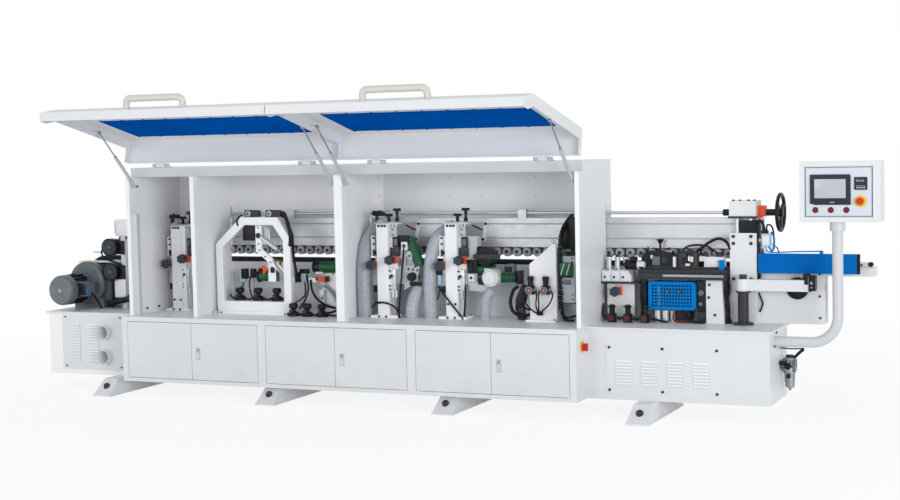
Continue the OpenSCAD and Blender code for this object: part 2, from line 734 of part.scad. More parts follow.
// Pressure beam with its roller row, lift columns, lift heads and handwheel
module beam_profile() {
    y0 = beam_y0;
    y1 = beam_y0 + beam_depth;
    groove = 5;
    line_1 = beam_z1 - 37;
    line_2 = beam_z1 - 127;
    difference() {
        sheet_x([[y0, beam_z0], [hanger_y, beam_z0], [hanger_y, roller_z - 20], [hanger_y + 12, roller_z - 20],
            [hanger_y + 12, beam_z0], [y1, beam_z0], [y1, beam_z1], [y0, beam_z1],
            [y0, line_1 + groove], [y0 + groove, line_1], [y0, line_1 - groove],
            [y0, line_2 + groove], [y0 + groove, line_2], [y0, line_2 - groove]], beam_x0, beam_x1);
        block([beam_x0 - 1, y0 + 14, beam_z0 + 14], [beam_x1 + 1, y1 - 14, beam_z1 - 14]);
    }
}

roller_x0 = beam_x0 + 40;
rollers = floor((beam_x1 - 40 - roller_x0) / roller_pitch);
module pressure_rollers() color(steel) for (i = [0:rollers])
    translate([roller_x0 + i * roller_pitch, roller_y1, roller_z]) rotate([90, 0, 0]) rotate_extrude() polygon([
        [0, -1], [8, -1], [8, 0], [roller_d / 2 - 2, 0], [roller_d / 2, 2], [roller_d / 2, roller_w - 2],
        [roller_d / 2 - 2, roller_w], [15, roller_w], [13, roller_w - 5], [9, roller_w - 5], [9, roller_w + 4],
        [0, roller_w + 4]]);

module lift_columns() color(paint) for (x = column_xs) {
    block([x, column_y0, base_top], [x + column_w, column_y1, base_top + column_h]);
    for (px = [x + post_in, x + column_w - post_in])
        rod_z(post_d, px, post_y, base_top + column_h - 1, beam_z1 + head_plate + head_h - 34);
}

module lift_heads() {
    for (x = column_xs) {
        x1 = x + column_w;
        difference() {
            union() {
                block([x - 6, head_y0 - 6, beam_z1], [x1 + 6, y_back - 12, beam_z1 + head_plate]);
                block([x, head_y0, beam_z1 + head_plate - 1], [x1, y_back - 18, beam_z1 + head_plate + head_h]);
            }
            for (px = [x + post_in, x1 - post_in])
                rod_z(post_d + 2 * fit, px, post_y, beam_z1 - 1, beam_z1 + head_plate + head_h - 14);
            rod_x(lift_shaft_d + 2 * fit, x - 8, x1 + 8, shaft_y, shaft_z);
        }
    }
    for (x = [-620, 150, 1050])
        difference() {
            block([x - 28, shaft_y - 24, beam_z1], [x + 28, shaft_y + 24, shaft_z + 22]);
            rod_x(lift_shaft_d + 2 * fit, x - 30, x + 30, shaft_y, shaft_z);
        }
    x2 = column_xs[1] + column_w;
    difference() {
        block([x2 - 1, shaft_y - 28, shaft_z - 24], [x2 + 44, shaft_y + 28, shaft_z + 40]);
        rod_x(lift_shaft_d + 2 * fit, x2 - 2, x2 + 46, shaft_y, shaft_z);
    }
}

module pressure_beam() color(paint) {
    beam_profile();
    lift_heads();
}

rim_d = 22;
module handwheel() color(slate) {
    end = wheel_x + 8;
    rod_x(lift_shaft_d, column_xs[0] - 120, end, shaft_y, shaft_z);
    difference() {
        union() {
            rod_x(52, wheel_x - 26, wheel_x + 16, shaft_y, shaft_z);
            translate([wheel_x, shaft_y, shaft_z]) rotate([0, 90, 0]) wheel_rim();
        }
        rod_x(lift_shaft_d + 2 * fit, wheel_x - 30, end + fit, shaft_y, shaft_z);
    }
}

module wheel_rim() {
    rotate_extrude($fn = 72) translate([handwheel_d / 2 - rim_d / 2, 0]) circle(d = rim_d);
    for (a = [0, 120, 240]) rotate([0, 0, a]) translate([0, -11, -7]) cube([handwheel_d / 2 - rim_d / 2, 22, 14]);
}

// Trimming and scraping columns
module unit_column(at, h) {
    x = at[0];
    y = at[1];
    z = base_top;
    block([x - 48, y - 14, z], [x + unit_w + 62, y + unit_d + 10, z + unit_foot]);
    difference() {
        block([x, y, z + unit_foot - 1], [x + unit_w, y + unit_d, z + h]);
        block([x + 10, y + 14, z + 60], [x + unit_w - 10, y + unit_d + 1, z + h - 30]);
    }
    block([x - 34, y + 44, z + 330], [x + 1, y + 58, z + 520]);
    block([x + unit_w - 1, y + 40, z + 180], [x + unit_w + 40, y + 56, z + 540]);
    block([x + unit_w + 39, y + 42, z + 215], [x + unit_w + 46, y + 88, z + 520]);
    block([x - 20, y + 28, z + h], [x + unit_w + 66, y + 78, z + h + 12]);
    for (t = [[x + unit_w - 12, y + 50, 52], [x + unit_w + 40, y + 62, 86]]) {
        rod_z(12, t[0], t[1], z + h + 11, z + h + t[2]);
        rod_z(20, t[0], t[1], z + h + t[2] - 22, z + h + t[2] + 2);
        rod_x(14, t[0] - 25, t[0] + 25, t[1], z + h + t[2] + 4);
    }
}

module unit_columns() color(paint) {
    unit_column(scrape_at, unit_h - 20);
    unit_column(fine_at, unit_h);
    unit_column(rough_at, unit_h);
}

// Motor along a slanted axis in the XZ plane
module motor(x, y, z, tilt, d, len) translate([x, y, z]) rotate([0, tilt, 0]) {
    cylinder(d = d, h = len);
    cylinder(d = d + 8, h = 26);
    translate([0, 0, len - 8]) cylinder(d = d + 12, h = 10);
}

module trim_heads() color(green) {
    z = base_top;
    fx = fine_at[0] + unit_w + 46;
    fy = fine_at[1] + 42;
    block([fx, fy, z + 456], [fx + 66, fy + 60, z + 520]);
    motor(fx + 70, fy + 30, z + 506, 157.7, 70, 190);
    block([fx, fy, z + 215], [fx + 104, fy + 60, z + 330]);
    rod_y(56, fx + 104, fy - 14, fy + 50, z + 262);
    rx = rough_at[0] + unit_w + 46;
    ry = rough_at[1] + 42;
    block([rx, ry, z + 366], [rx + 80, ry + 60, z + 520]);
    rod_y(116, rx + 134, ry - 12, ry + 60, z + 395);
    block([rx, ry, z + 215], [rx + 70, ry + 60, z + 345]);
    motor(rx + 60, ry + 30, z + 310, 90, 66, 112);
    rod_y(110, rx + 176, ry - 40, ry + 60, z + 262);
    motor(rx + 220, ry + 30, z + 262, 90, 62, 112);
}

// Corner-rounding arch and its swing arm
arch_x0 = partition_1_x + 19;
arch_x1 = arch_x0 + 568;
arch_foot = 18;
arch_sill = 66;
arch_top = base_top + 645;
arm_pin_d = 24;
arm_at = [arch_x1 - arch_bar / 2, base_top + 228];
module corner_arch() color(paint) {
    b = arch_bar;
    z = base_top + arch_foot;
    difference() {
        sheet_y([[arch_x0, z], [arch_x0, base_top + 466], [arch_x0 + 200, arch_top], [arch_x1 - 97, arch_top],
            [arch_x1, base_top + 508], [arch_x1, z]], arch_y0, arch_y0 + arch_t);
        sheet_y([[arch_x0 + b, z + arch_sill], [arch_x0 + b, base_top + 444], [arch_x0 + 222, arch_top - b],
            [arch_x1 - 127, arch_top - b], [arch_x1 - b, base_top + 492], [arch_x1 - b, z + arch_sill]],
            arch_y0 - 1, arch_y0 + arch_t + 1);
        rod_y(arm_pin_d + 2 * fit, arm_at[0], arch_y0 - 1, arch_y0 + arch_t + 1, arm_at[1]);
    }
    for (x = [arch_x0 + 240, arch_x0 + 400]) {
        rod_x(44, x, x + 98, arch_y0 + arch_t / 2, arch_top + 24);
        block([x + 10, arch_y0 + 2, arch_top - 1], [x + 88, arch_y0 + arch_t - 2, arch_top + 12]);
    }
    block([arch_x0 - 12, arch_y0 - 24, base_top], [arch_x1 + 12, arch_y0 + 100, z]);
    block([arch_x0, arch_y0 + arch_t - 1, z - 1], [arch_x1, arch_y0 + 116, z + arch_sill]);
    lower_head();
}

// Lower rounding head: a bracket with its motor and slanted link
module lower_head() {
    x = arch_x1 + 160;
    y = arch_y0 + 112;
    z = base_top;
    block([x - 10, y - 22, z], [x + 190, y + 50, z + 12]);
    sheet_y([[x, z + 11], [x + 180, z + 11], [x + 180, z + 40], [x + 134, z + 262], [x + 110, z + 285], [x + 34, z + 285],
        [x, z + 110]], y, y + 14);
    sheet_y([[x - 4, z + 204], [x + 20, z + 228], [x + 186, z + 90], [x + 168, z + 60]], y - 14, y + 1);
    motor(x + 134, y - 12, z + 313, -90, 72, 165);
    block([x + 40, y - 12, z + 284], [x + 134, y + 14, z + 300]);
}

module corner_arm() color(paint) {
    px = arm_at[0];
    pz = arm_at[1];
    y = arch_y0 + arch_t + air;
    t = 16;
    rod_y(arm_pin_d, px, arch_y0 - 6, y + 18, pz);
    rod_y(60, px, y, y + t, pz);
    sheet_y([[px + 8, pz - 22], [px - 215, pz + 162], [px - 250, pz + 186], [px - 250, pz + 358], [px - 208, pz + 358],
        [px - 208, pz + 205], [px + 14, pz + 26]], y, y + t);
    block([px - 349, y, pz + 259], [px - 249, y + 46, pz + 358]);
    block([px - 170, y + t - 1, pz - 14], [px - 112, y + 62, pz + 130]);
    motor(px - 140, y + 54, pz + 24, -92, 72, 120);
}

// End trimming: bracket plate and saw carriage
end_x = xr - 422;
end_y = yt - 230;
carriage_x = end_x + 186;
module end_trim_bracket() color(paint) {
    z = base_top;
    sheet_y([[end_x, z], [end_x, z + 353], [end_x + 150, z + 475], [end_x + 174, z + 480], [end_x + 174, z]],
        end_y, end_y + 16);
    block([end_x - 20, end_y - 30, z], [end_x + 174, end_y + 1, z + 12]);
    block([end_x + 158, end_y + 15, z], [end_x + 174, yt - 20, z + 440]);
    for (dz = [130, 360])
        block([end_x + 173, end_y + 60, z + dz], [end_x + 360, end_y + 84, z + dz + 24]);
}

carriage_grip = 0.3;
module end_trim_carriage() color(green) {
    z = base_top;
    x = carriage_x;
    difference() {
        block([x, end_y + 44, z + 116], [x + 90, end_y + 100, z + 400]);
        for (dz = [130, 360])
            block([x - 1, end_y + 60 - carriage_grip, z + dz - carriage_grip],
                [x + 91, end_y + 84 + carriage_grip, z + dz + 24 + carriage_grip]);
    }
    motor(x + 45, end_y + 146, z + 300, 0, 78, 120);
    block([x + 6, end_y + 99, z + 150], [x + 84, end_y + 180, z + 301]);
}

// Orange counters on their spindle blocks, and the star knobs that turn in them
module counter_case(c) {
    x = c[0];
    z = base_top + c[2];
    h = counter_s / 2;
    difference() {
        block([x - h, c[1], z - h], [x + h, c[1] + counter_depth, z + h]);
        rod_y(spindle_d + 2 * fit, x, c[1] - 1, c[1] + 30, z);
    }
}
module counters() color(orange) for (c = all_counters) counter_case(c);

module star_knob(c) color(slate) {
    z = base_top + c[2];
    y1 = c[1] - knob_air;
    rod_y(spindle_d, c[0], y1 - 1, c[1] + 28, z);
    translate([c[0], y1, z]) rotate([90, 0, 0]) difference() {
        cylinder(r = knob_r, h = knob_t);
        for (a = [0:60:300]) rotate([0, 0, a]) translate([knob_r + 9, 0, -1]) cylinder(r = 14, h = knob_t + 2);
    }
}

// Blow-off valves, air regulators with gauges and the filter-regulator
module regulator(x, y, z) {
    block([x - 22, y - 20, z], [x + 22, y + 20, z + 52]);
    rod_z(34, x, y, z + 51, z + 86);
    rod_y(42, x, y - 32, y - 19, z + 26);
}

frl_x = xe + 46;
frl_y = 470;
module blow_valve(x, y, z) {
    translate([x, y, z]) rotate_extrude() polygon([[0, 0], [34, 0], [37, 3], [37, 20], [29, 28], [16, 32], [16, 48],
        [25, 52], [25, 80], [22, 84], [0, 84]]);
    rod_x(18, x - 46, x + 46, y, z + 12);
}

module air_valves() color(slate) {
    for (i = [0:2]) {
        x = arch_x0 + 130 + i * 143;
        blow_valve(x, arch_y0 + 76, base_top + arch_foot + arch_sill);
    }
    for (x = [arch_x1 + 42, arch_x1 + 144, arch_x1 + 254]) blow_valve(x, 291, base_top);
    for (x = [xr + 78, xr + 178, xr + 286]) regulator(x, stand_y - 54, base_top);
    for (x = [end_x + 14, end_x + 112]) regulator(x, end_y - 20.5, base_top + 170);
    block([xe, frl_y - 22, base_top - 250], [xe + 20, frl_y + 22, base_top - 205]);
    block([frl_x - 34, frl_y - 32, base_top - 262], [frl_x + 44, frl_y + 32, base_top - 196]);
    translate([frl_x + 8, frl_y, base_top - 376]) rotate_extrude() polygon([[0, 0], [8, 0], [8, 12], [22, 18], [27, 26],
        [27, 104], [31, 108], [31, 115], [0, 115]]);
    rod_z(46, frl_x + 8, frl_y, base_top - 197, base_top - 168);
    rod_y(40, frl_x + 4, frl_y - 46, frl_y - 31, base_top - 230);
}

// Swept tube along points, with rings square to the path
function unit_of(v) = v / norm(v);
function tangent(p, i) = unit_of(p[min(i + 1, len(p) - 1)] - p[max(i - 1, 0)]);
function side_of(t) = unit_of(abs(t[1]) < 0.9 ? cross([0, 1, 0], t) : cross([1, 0, 0], t));
module tube(points, r, sides = 12) {
    n = len(points);
    rings = [for (i = [0:n - 1]) let (t = tangent(points, i), u = side_of(t), v = cross(t, u))
        for (k = [0:sides - 1]) points[i] + r * (cos(360 * k / sides) * u + sin(360 * k / sides) * v)];
    walls = [for (i = [0:n - 2], k = [0:sides - 1]) let (m = (k + 1) % sides)
        [i * sides + k, (i + 1) * sides + k, (i + 1) * sides + m, i * sides + m]];
    polyhedron(rings, concat([[for (k = [0:sides - 1]) k]], walls,
        [[for (k = [sides - 1:-1:0]) (n - 1) * sides + k]]), convexity = 4);
}
function bend(a, b, c, n = 9) = [for (i = [0:n]) let (t = i / n) (1 - t) * (1 - t) * a + 2 * t * (1 - t) * b + t * t * c];

module hose(foot, path, r) {
    up = [0, 0, 20];
    tube(concat([foot, foot + up], path), r);
}

module dust_hoses() color([0.8, 0.82, 0.84]) {
    z = base_top;
    f = fine_at[1];
    r = rough_at[1];
    hose([30, f + 27, z], concat(bend([29, f + 27, z + 120], [20, f + 27, z + 370], [22, f + 85, z + 460]),
        bend([24, f + 105, z + 484], [30, f + 155, z + 555], [100, f + 160, z + 585])), 45);
    hose([488, r + 25, z], concat(bend([487, r + 25, z + 120], [476, r + 25, z + 400], [520, r + 70, z + 500]),
        bend([530, r + 80, z + 516], [560, r + 130, z + 560], [600, r + 150, z + 572])), 43);
    hose([372, f + 17, z], bend([373, f + 19, z + 60], [376, f + 35, z + 140], [396, f + 75, z + 178]), 42);
    hose([858, r + 40, z], bend([858, r + 40, z + 60], [858, r + 40, z + 140], [896, r + 54, z + 180]), 35);
}

// Glue end
module glue_stand() color(paint) {
    z = base_top;
    block([xr + 28, stand_y + 9, z], [xr + 200, stand_y + 21, z + 231]);
    block([xr, stand_y - 30, z + 231], [xr + 240, yt - 1, z + 243]);
    tape_clamp(z + 242);
    bracket_x = xe - 448;
    sheet_y([[bracket_x, z], [bracket_x + 110, z], [bracket_x + 96, z + 259], [bracket_x, z + 259]],
        stand_y, stand_y + 14);
    sheet_y([[bracket_x + 96, z], [bracket_x + 110, z], [bracket_x + 97, z + 259], [bracket_x + 83, z + 259]],
        stand_y + 13, yt - 1);
    glue_table();
    glue_rollers(table_z + 74);
    rod_z(46, xr + 260, stand_y + 20, z, table_z + 1);
    tape_post(z);
}

// Row of tape clamps: a chamfered block with three turned guides and the feed cylinder
module tape_clamp(z) {
    x = xr + 4;
    sheet_y([[x, z], [x + 186, z], [x + 186, z + 36], [x + 160, z + 71], [x, z + 71]], stand_y - 20, yt - 10);
    for (i = [0:2]) translate([x + 34 + 54 * i, stand_y + 20, z + 70]) rotate_extrude()
        polygon([[0, 0], [20, 0], [20, 10], [16, 14], [16, 62], [20, 66], [20, 78], [0, 78]]);
    rod_x(60, x + 142, x + 220, stand_y + 18, z + 102);
    rod_x(44, x + 219, x + 256, stand_y + 18, z + 102);
}

// Feed table: a stepped rail, carried by the bracket and the glue post
module glue_table() {
    x0 = xr + 234;
    x1 = xe - 319;
    y0 = stand_y - 30;
    z = table_z;
    sheet_x([[y0, z], [yt - 1, z], [yt - 1, z + 74], [y0 + 64, z + 74], [y0 + 64, z + 58], [y0 + 20, z + 58],
        [y0 + 20, z + 36], [y0, z + 36]], x0, x1);
}

// Cutter housing with its setting screw, and the pressing rollers on their arm
module glue_rollers(z) {
    x = xr + 240;
    y = stand_y;
    sheet_y([[x, z - 1], [x + 200, z - 1], [x + 200, z + 62], [x + 168, z + 92], [x + 42, z + 92], [x, z + 58]],
        y + 34, yt - 6);
    rod_z(14, x + 112, y + 58, z + 91, z + 140);
    translate([x + 112, y + 58, z + 138]) cylinder(d1 = 16, d2 = 46, h = 26);
    for (r = [[x + 250, 35], [x + 326, 28]]) {
        rod_z(2 * r[1], r[0], y + 50, z - 1, z + 82);
        rod_z(24, r[0], y + 50, z + 81, z + 98);
    }
    sheet_y([[x + 236, z + 84], [x + 340, z + 84], [x + 352, z + 92], [x + 352, z + 96], [x + 236, z + 96]],
        y + 42, y + 60);
    sheet_y([[x + 388, z - 1], [x + 512, z - 1], [x + 512, z + 46], [x + 500, z + 60], [x + 388, z + 60]],
        y + 36, yt - 6);
}

// Tape post with its flange, collar and pivot
module tape_post(z) {
    x = tape_post_at[0];
    y = tape_post_at[1];
    d = tape_post_d;
    rod_z(d, x, y, z, arm_z0 - 8);
    rod_z(d + 56, x, y, z, z + 12);
    rod_z(d + 24, x, y, arm_z0 - 9, arm_z0 - air);
    rod_z(d - 20, x, y, arm_z0 - 9, arm_z0 + arm_h + 26);
}

guard_x0 = xr + 297;
guard_x1 = xr + 588;
// Block with rounded upright edges as seen from the front
module round_front(x0, x1, z0, z1, r, y0, y1) {
    block([x0 + r, y0, z0], [x1 - r, y1, z1]);
    block([x0, y0, z0 + r], [x1, y1, z1 - r]);
    for (x = [x0 + r, x1 - r], z = [z0 + r, z1 - r]) rod_y(2 * r, x, y0, y1, z);
}

// Glue pot: perforated guard over the pot, the dosing cups and the stirrer motor under it
module glue_pot() color(blue) {
    z = base_top;
    difference() {
        round_front(guard_x0, guard_x1, z + 78, z + 247, 20, stand_y - 20, stand_y + 76);
        round_front(guard_x0 + 4, guard_x1 - 4, z + 82, z + 243, 16, stand_y - 16, stand_y + 77);
        for (i = [0:13], j = [0:6])
            block([guard_x0 + 22 + i * 18, stand_y - 21, z + 96 + j * 20], [guard_x0 + 33 + i * 18, stand_y - 15, z + 108 + j * 20]);
    }
    block([guard_x0 + 30, stand_y + 10, z + 69], [guard_x1 - 30, yt - 4, z + 225]);
    for (i = [0:2]) rod_z(42, guard_x0 + 42 + 50 * i, stand_y + 30, z, z + 70);
    rod_y(88, guard_x0 + 210, stand_y - 6, stand_y + 74, z + 45);
    block([guard_x0 + 166, stand_y, z], [guard_x0 + 254, stand_y + 74, z + 46]);
    rod_z(34, guard_x0 + 210, stand_y + 40, z + 45, z + 70);
}

module infeed_fence() color(blue) {
    z = base_top + 302;
    block([xe - 142, yt - 60, z], [xe + 446, yt - 40, z + 116]);
    for (x = [xe + 20, xe + 180])
        block([x, yt - 41, z + 2], [x + 40, yt, z + 14]);
}

// Tape arm, which swivels on its post
arm_reach = 400;
module tape_arm() color(paint) {
    x = tape_post_at[0];
    y = tape_post_at[1];
    difference() {
        union() {
            rod_z(tape_post_d + 12, x, y, arm_z0, arm_z0 + arm_h);
            block([x, y - 22, arm_z0 + 2], [x + arm_reach, y + 22, arm_z0 + arm_h - 2]);
            block([x + arm_reach - 14, y - 30, arm_z0 + 8], [x + arm_reach + 26, y + 26, arm_z0 + arm_h + 26]);
        }
        rod_z(tape_post_d - 20 + 2 * fit, x, y, arm_z0 - 1, arm_z0 + arm_h + 1);
    }
}

// Control panel
module control_box() color(paint) {
    z1 = box_z0 + panel_h;
    control_post();
    rim = 26;
    difference() {
        block([box_x0, box_y0, box_z0], [box_x1, box_y0 + panel_d, z1]);
        block([box_x0 + rim, box_y0 - 1, box_z0 + rim], [box_x1 - rim - 14, face_y, z1 - rim]);
        for (x = button_xs) rod_y(button_d + 2 * fit, box_x0 + x, face_y - 1, face_y + 20, button_z);
        rod_y(24 + 2 * fit, box_x0 + estop_at[0], face_y - 1, face_y + 30, box_z0 + estop_at[1]);
    }
    block([box_x0 + 80, face_y - 6, box_z0 + 97], [box_x0 + 283, face_y + 0.5, box_z0 + 259]);
    block([box_x0 + 303, face_y - 6, box_z0 + 180], [box_x0 + 374, face_y + 0.5, box_z0 + 251]);
}

module push_button(i) color([0.45, 0.08, 0.08])
    rod_y(button_d, box_x0 + button_xs[i], face_y - 8, face_y + 10, button_z);

module emergency_stop() color([0.8, 0.1, 0.08]) {
    x = box_x0 + estop_at[0];
    z = box_z0 + estop_at[1];
    rod_y(24, x, face_y - 14, face_y + 18, z);
    rod_y(40, x, face_y - 30, face_y - 13, z);
}

module control_post() {
    z_top = box_z0;
    translate([post_x - post_bend_r, tube_y, tube_z + post_bend_r]) rotate([90, 0, 0])
        rotate([0, 0, -90]) rotate_extrude(angle = 90) translate([post_bend_r, 0]) circle(d = post_tube_d);
    rod_x(post_tube_d, xe - sheet - 0.5, post_x - post_bend_r, tube_y, tube_z);
    rod_z(post_tube_d, post_x, tube_y, tube_z + post_bend_r, z_top);
    rod_z(post_tube_d + 26, post_x, tube_y, z_top - 52, z_top);
}

module main_switch() color([0.8, 0.1, 0.08]) {
    z = base_top - 113;
    rod_x(spindle_d, xr - 40, xr + 12, 104, z);
    rod_x(46, xr + 8, xr + 22, 104, z);
    block([xr + 21, 104 - 8, z - 23], [xr + 36, 104 + 8, z + 23]);
}

place() main_base();
place() left_base();
place() right_base();
place() feet();
place() vent_panels();
place() dust_ports();
place() door(-1, -1);  // door_1_left
place() door(-1, 1);  // door_1_right
place() door(0, -1);  // door_2_left
place() door(0, 1);  // door_2_right
place() door(1, -1);  // door_3_left
place() door(1, 1);  // door_3_right
place() enclosure();
place() lid_fittings();
place() lid(lid_xs[0]);  // lid_left
place() lid(lid_xs[1]);  // lid_right
place() window(lid_xs[0]);  // window_left
place() window(lid_xs[1]);  // window_right
place() handle(lid_xs[0]);  // handle_left
place() handle(lid_xs[1]);  // handle_right
place() spring_cylinders(lid_xs[0]);  // spring_cylinders_left
place() spring_cylinders(lid_xs[1]);  // spring_cylinders_right
place() spring_rods(lid_xs[0]);  // spring_rods_left
place() spring_rods(lid_xs[1]);  // spring_rods_right
place() conveyor_track();
place() conveyor_chain();
place() drive_sprocket();
place() idler_sprocket();
place() gear_motor();
place() buffing_unit();
place() pressure_beam();
place() pressure_rollers();
place() lift_columns();
place() handwheel();
place() unit_columns();
place() trim_heads();
place() corner_arch();
place() corner_arm();
place() end_trim_bracket();
place() end_trim_carriage();
place() counters();
place() star_knob(scrape_counters[1]);  // knob_scrape_upper
place() star_knob(scrape_counters[0]);  // knob_scrape_lower
place() star_knob(fine_counters[1]);  // knob_fine_upper
place() star_knob(fine_counters[0]);  // knob_fine_lower
place() star_knob(rough_counters[1]);  // knob_rough_upper
place() star_knob(rough_counters[0]);  // knob_rough_lower
place() star_knob(glue_counter);  // knob_glue
place() air_valves();
place() dust_hoses();
place() glue_stand();
place() glue_pot();
place() infeed_fence();
place() tape_arm();
place() control_box();
place() push_button(0);  // button_1
place() push_button(1);  // button_2
place() push_button(2);  // button_3
place() emergency_stop();
place() main_switch();
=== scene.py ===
import math
import bmesh
import bpy
from mathutils import Matrix, Vector


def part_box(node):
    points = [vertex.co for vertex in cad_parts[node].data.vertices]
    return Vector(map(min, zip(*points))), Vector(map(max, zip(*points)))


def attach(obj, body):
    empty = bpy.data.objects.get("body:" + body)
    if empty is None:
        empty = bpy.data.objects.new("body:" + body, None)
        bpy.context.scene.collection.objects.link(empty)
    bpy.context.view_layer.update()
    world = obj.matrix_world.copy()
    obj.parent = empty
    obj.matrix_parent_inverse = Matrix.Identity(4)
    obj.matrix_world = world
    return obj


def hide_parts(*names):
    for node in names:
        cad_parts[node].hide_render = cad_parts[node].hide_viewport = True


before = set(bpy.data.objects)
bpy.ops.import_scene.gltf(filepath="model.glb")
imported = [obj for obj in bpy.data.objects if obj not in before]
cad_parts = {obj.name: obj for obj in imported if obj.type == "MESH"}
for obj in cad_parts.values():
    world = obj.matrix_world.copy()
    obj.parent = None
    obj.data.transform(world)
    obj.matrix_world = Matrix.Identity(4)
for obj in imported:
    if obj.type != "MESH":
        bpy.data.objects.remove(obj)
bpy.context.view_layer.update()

# Points of pieces are in millimetres from the main cabinet's middle, its front edge and the floor
MM_PER_M = 1000
HALF_CABINET_M = 1.6
cabinet_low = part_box("main_base")[0]
ORIGIN = Vector((cabinet_low.x + HALF_CABINET_M, cabinet_low.y, 0.0))
TO_ROW = Matrix.Translation(ORIGIN) @ Matrix.Scale(1 / MM_PER_M, 4)
FRONT = (0, -1, 0)
BACK = (0, 1, 0)
LEFT = (-1, 0, 0)
RIGHT = (1, 0, 0)
UP = (0, 0, 1)
CABINET_TOP = 535
SHARP_ANGLE = math.radians(34)


def row(point):
    return TO_ROW @ Vector(point)


def srgb(red, green, blue):
    def linear(value):
        value = value / 255
        return value / 12.92 if value <= 0.04045 else ((value + 0.055) / 1.055) ** 2.4
    return (linear(red), linear(green), linear(blue), 1.0)


def placed(name, data):
    made = bpy.data.objects.new(name, data)
    bpy.context.scene.collection.objects.link(made)
    return made


# Node trees: making groups, adding nodes and wiring their sockets
def new_group(kind, name, inputs, outputs):
    tree = bpy.data.node_groups.new(name, kind)
    for label, socket, value in inputs:
        made = tree.interface.new_socket(name=label, in_out="INPUT", socket_type="NodeSocket" + socket)
        if value is not None:
            made.default_value = value
    for label, socket in outputs:
        tree.interface.new_socket(name=label, in_out="OUTPUT", socket_type="NodeSocket" + socket)
    return tree, tree.nodes.new("NodeGroupInput").outputs, tree.nodes.new("NodeGroupOutput")


def wire(tree, node, links):
    for key, value in links.items():
        if isinstance(value, bpy.types.NodeSocket):
            tree.links.new(value, node.inputs[key])
        else:
            node.inputs[key].default_value = value


def add(tree, kind, links=None, **settings):
    made = tree.nodes.new(kind)
    for key, value in settings.items():
        setattr(made, key, value)
    wire(tree, made, links or {})
    return made


def surface(tree):
    return tree.nodes.new("ShaderNodeTexCoord").outputs["Object"]


def axes(tree, vector):
    return add(tree, "ShaderNodeSeparateXYZ", {0: vector}).outputs


def noise(tree, place, scale, detail=2.0, rough=0.5):
    values = {"Vector": place, "Scale": scale, "Detail": detail, "Roughness": rough}
    return add(tree, "ShaderNodeTexNoise", values).outputs["Fac"]


def spread(tree, value, out_low, out_high, low=0.3, high=0.7):
    """The value from low to high, taken to the range from out_low to out_high."""
    values = {"Value": value, "From Min": low, "From Max": high, "To Min": out_low, "To Max": out_high}
    return add(tree, "ShaderNodeMapRange", values).outputs["Result"]


def maths(tree, how, first, second):
    return add(tree, "ShaderNodeMath", {0: first, 1: second}, operation=how).outputs[0]


def times(tree, first, second):
    return maths(tree, "MULTIPLY", first, second)


def mix(tree, amount, first, second, kind="RGBA"):
    socket, result = {"RGBA": (6, 2), "FLOAT": (2, 0)}[kind]
    links = {0: amount, socket: first, socket + 1: second}
    return add(tree, "ShaderNodeMix", links, data_type=kind).outputs[result]


# Shader groups: each gives a colour, a roughness and a height that vary over the surface
def finish_group(name):
    tree, given, out = new_group("ShaderNodeTree", name,
        [("Colour", "Color", (0.8, 0.8, 0.8, 1)), ("Roughness", "Float", 0.4), ("Wear", "Float", 0.5)],
        [("Colour", "Color"), ("Roughness", "Float"), ("Height", "Float")])
    return tree, given, out, surface(tree)


def give(tree, out, colour, roughness, height):
    wire(tree, out, {"Colour": colour, "Roughness": roughness, "Height": height})
    return tree


def powder_coat():
    tree, given, out, place = finish_group("powder_coat")
    wear = given["Wear"]
    smudge = noise(tree, place, 11.0, 4.0, 0.6)
    near_floor = spread(tree, axes(tree, place)["Z"], 1.0, 0.0, 0.0, 0.34)
    soil = times(tree, times(tree, near_floor, spread(tree, smudge, 0.0, 1.0, 0.35, 0.75)), wear)
    cloudy = times(tree, spread(tree, noise(tree, place, 2.3, 3.0), 0.0, 0.2), wear)
    toned = mix(tree, cloudy, given["Colour"], (0.52, 0.55, 0.6, 1))
    soiled = mix(tree, times(tree, soil, 0.35), toned, (0.36, 0.34, 0.3, 1))
    rub = times(tree, spread(tree, smudge, -0.09, 0.09), wear)
    peel = noise(tree, place, 620.0, 1.0)
    return give(tree, out, soiled, maths(tree, "ADD", given["Roughness"], rub), peel)


def machined_metal():
    tree, given, out, place = finish_group("machined_metal")
    along = add(tree, "ShaderNodeMapping", {"Vector": place, "Scale": (0.06, 1.0, 1.0)}).outputs[0]
    streak = noise(tree, along, 900.0)
    spots = spread(tree, noise(tree, place, 160.0, 2.0, 0.7), 0.0, 0.4, 0.58, 0.74)
    bright = mix(tree, spread(tree, streak, 0.0, 0.22), given["Colour"], (0.26, 0.27, 0.3, 1))
    dulled = mix(tree, times(tree, spots, given["Wear"]), bright, (0.12, 0.11, 0.1, 1))
    change = spread(tree, noise(tree, place, 24.0, 3.0), -0.08, 0.1)
    return give(tree, out, dulled, maths(tree, "ADD", given["Roughness"], change), streak)


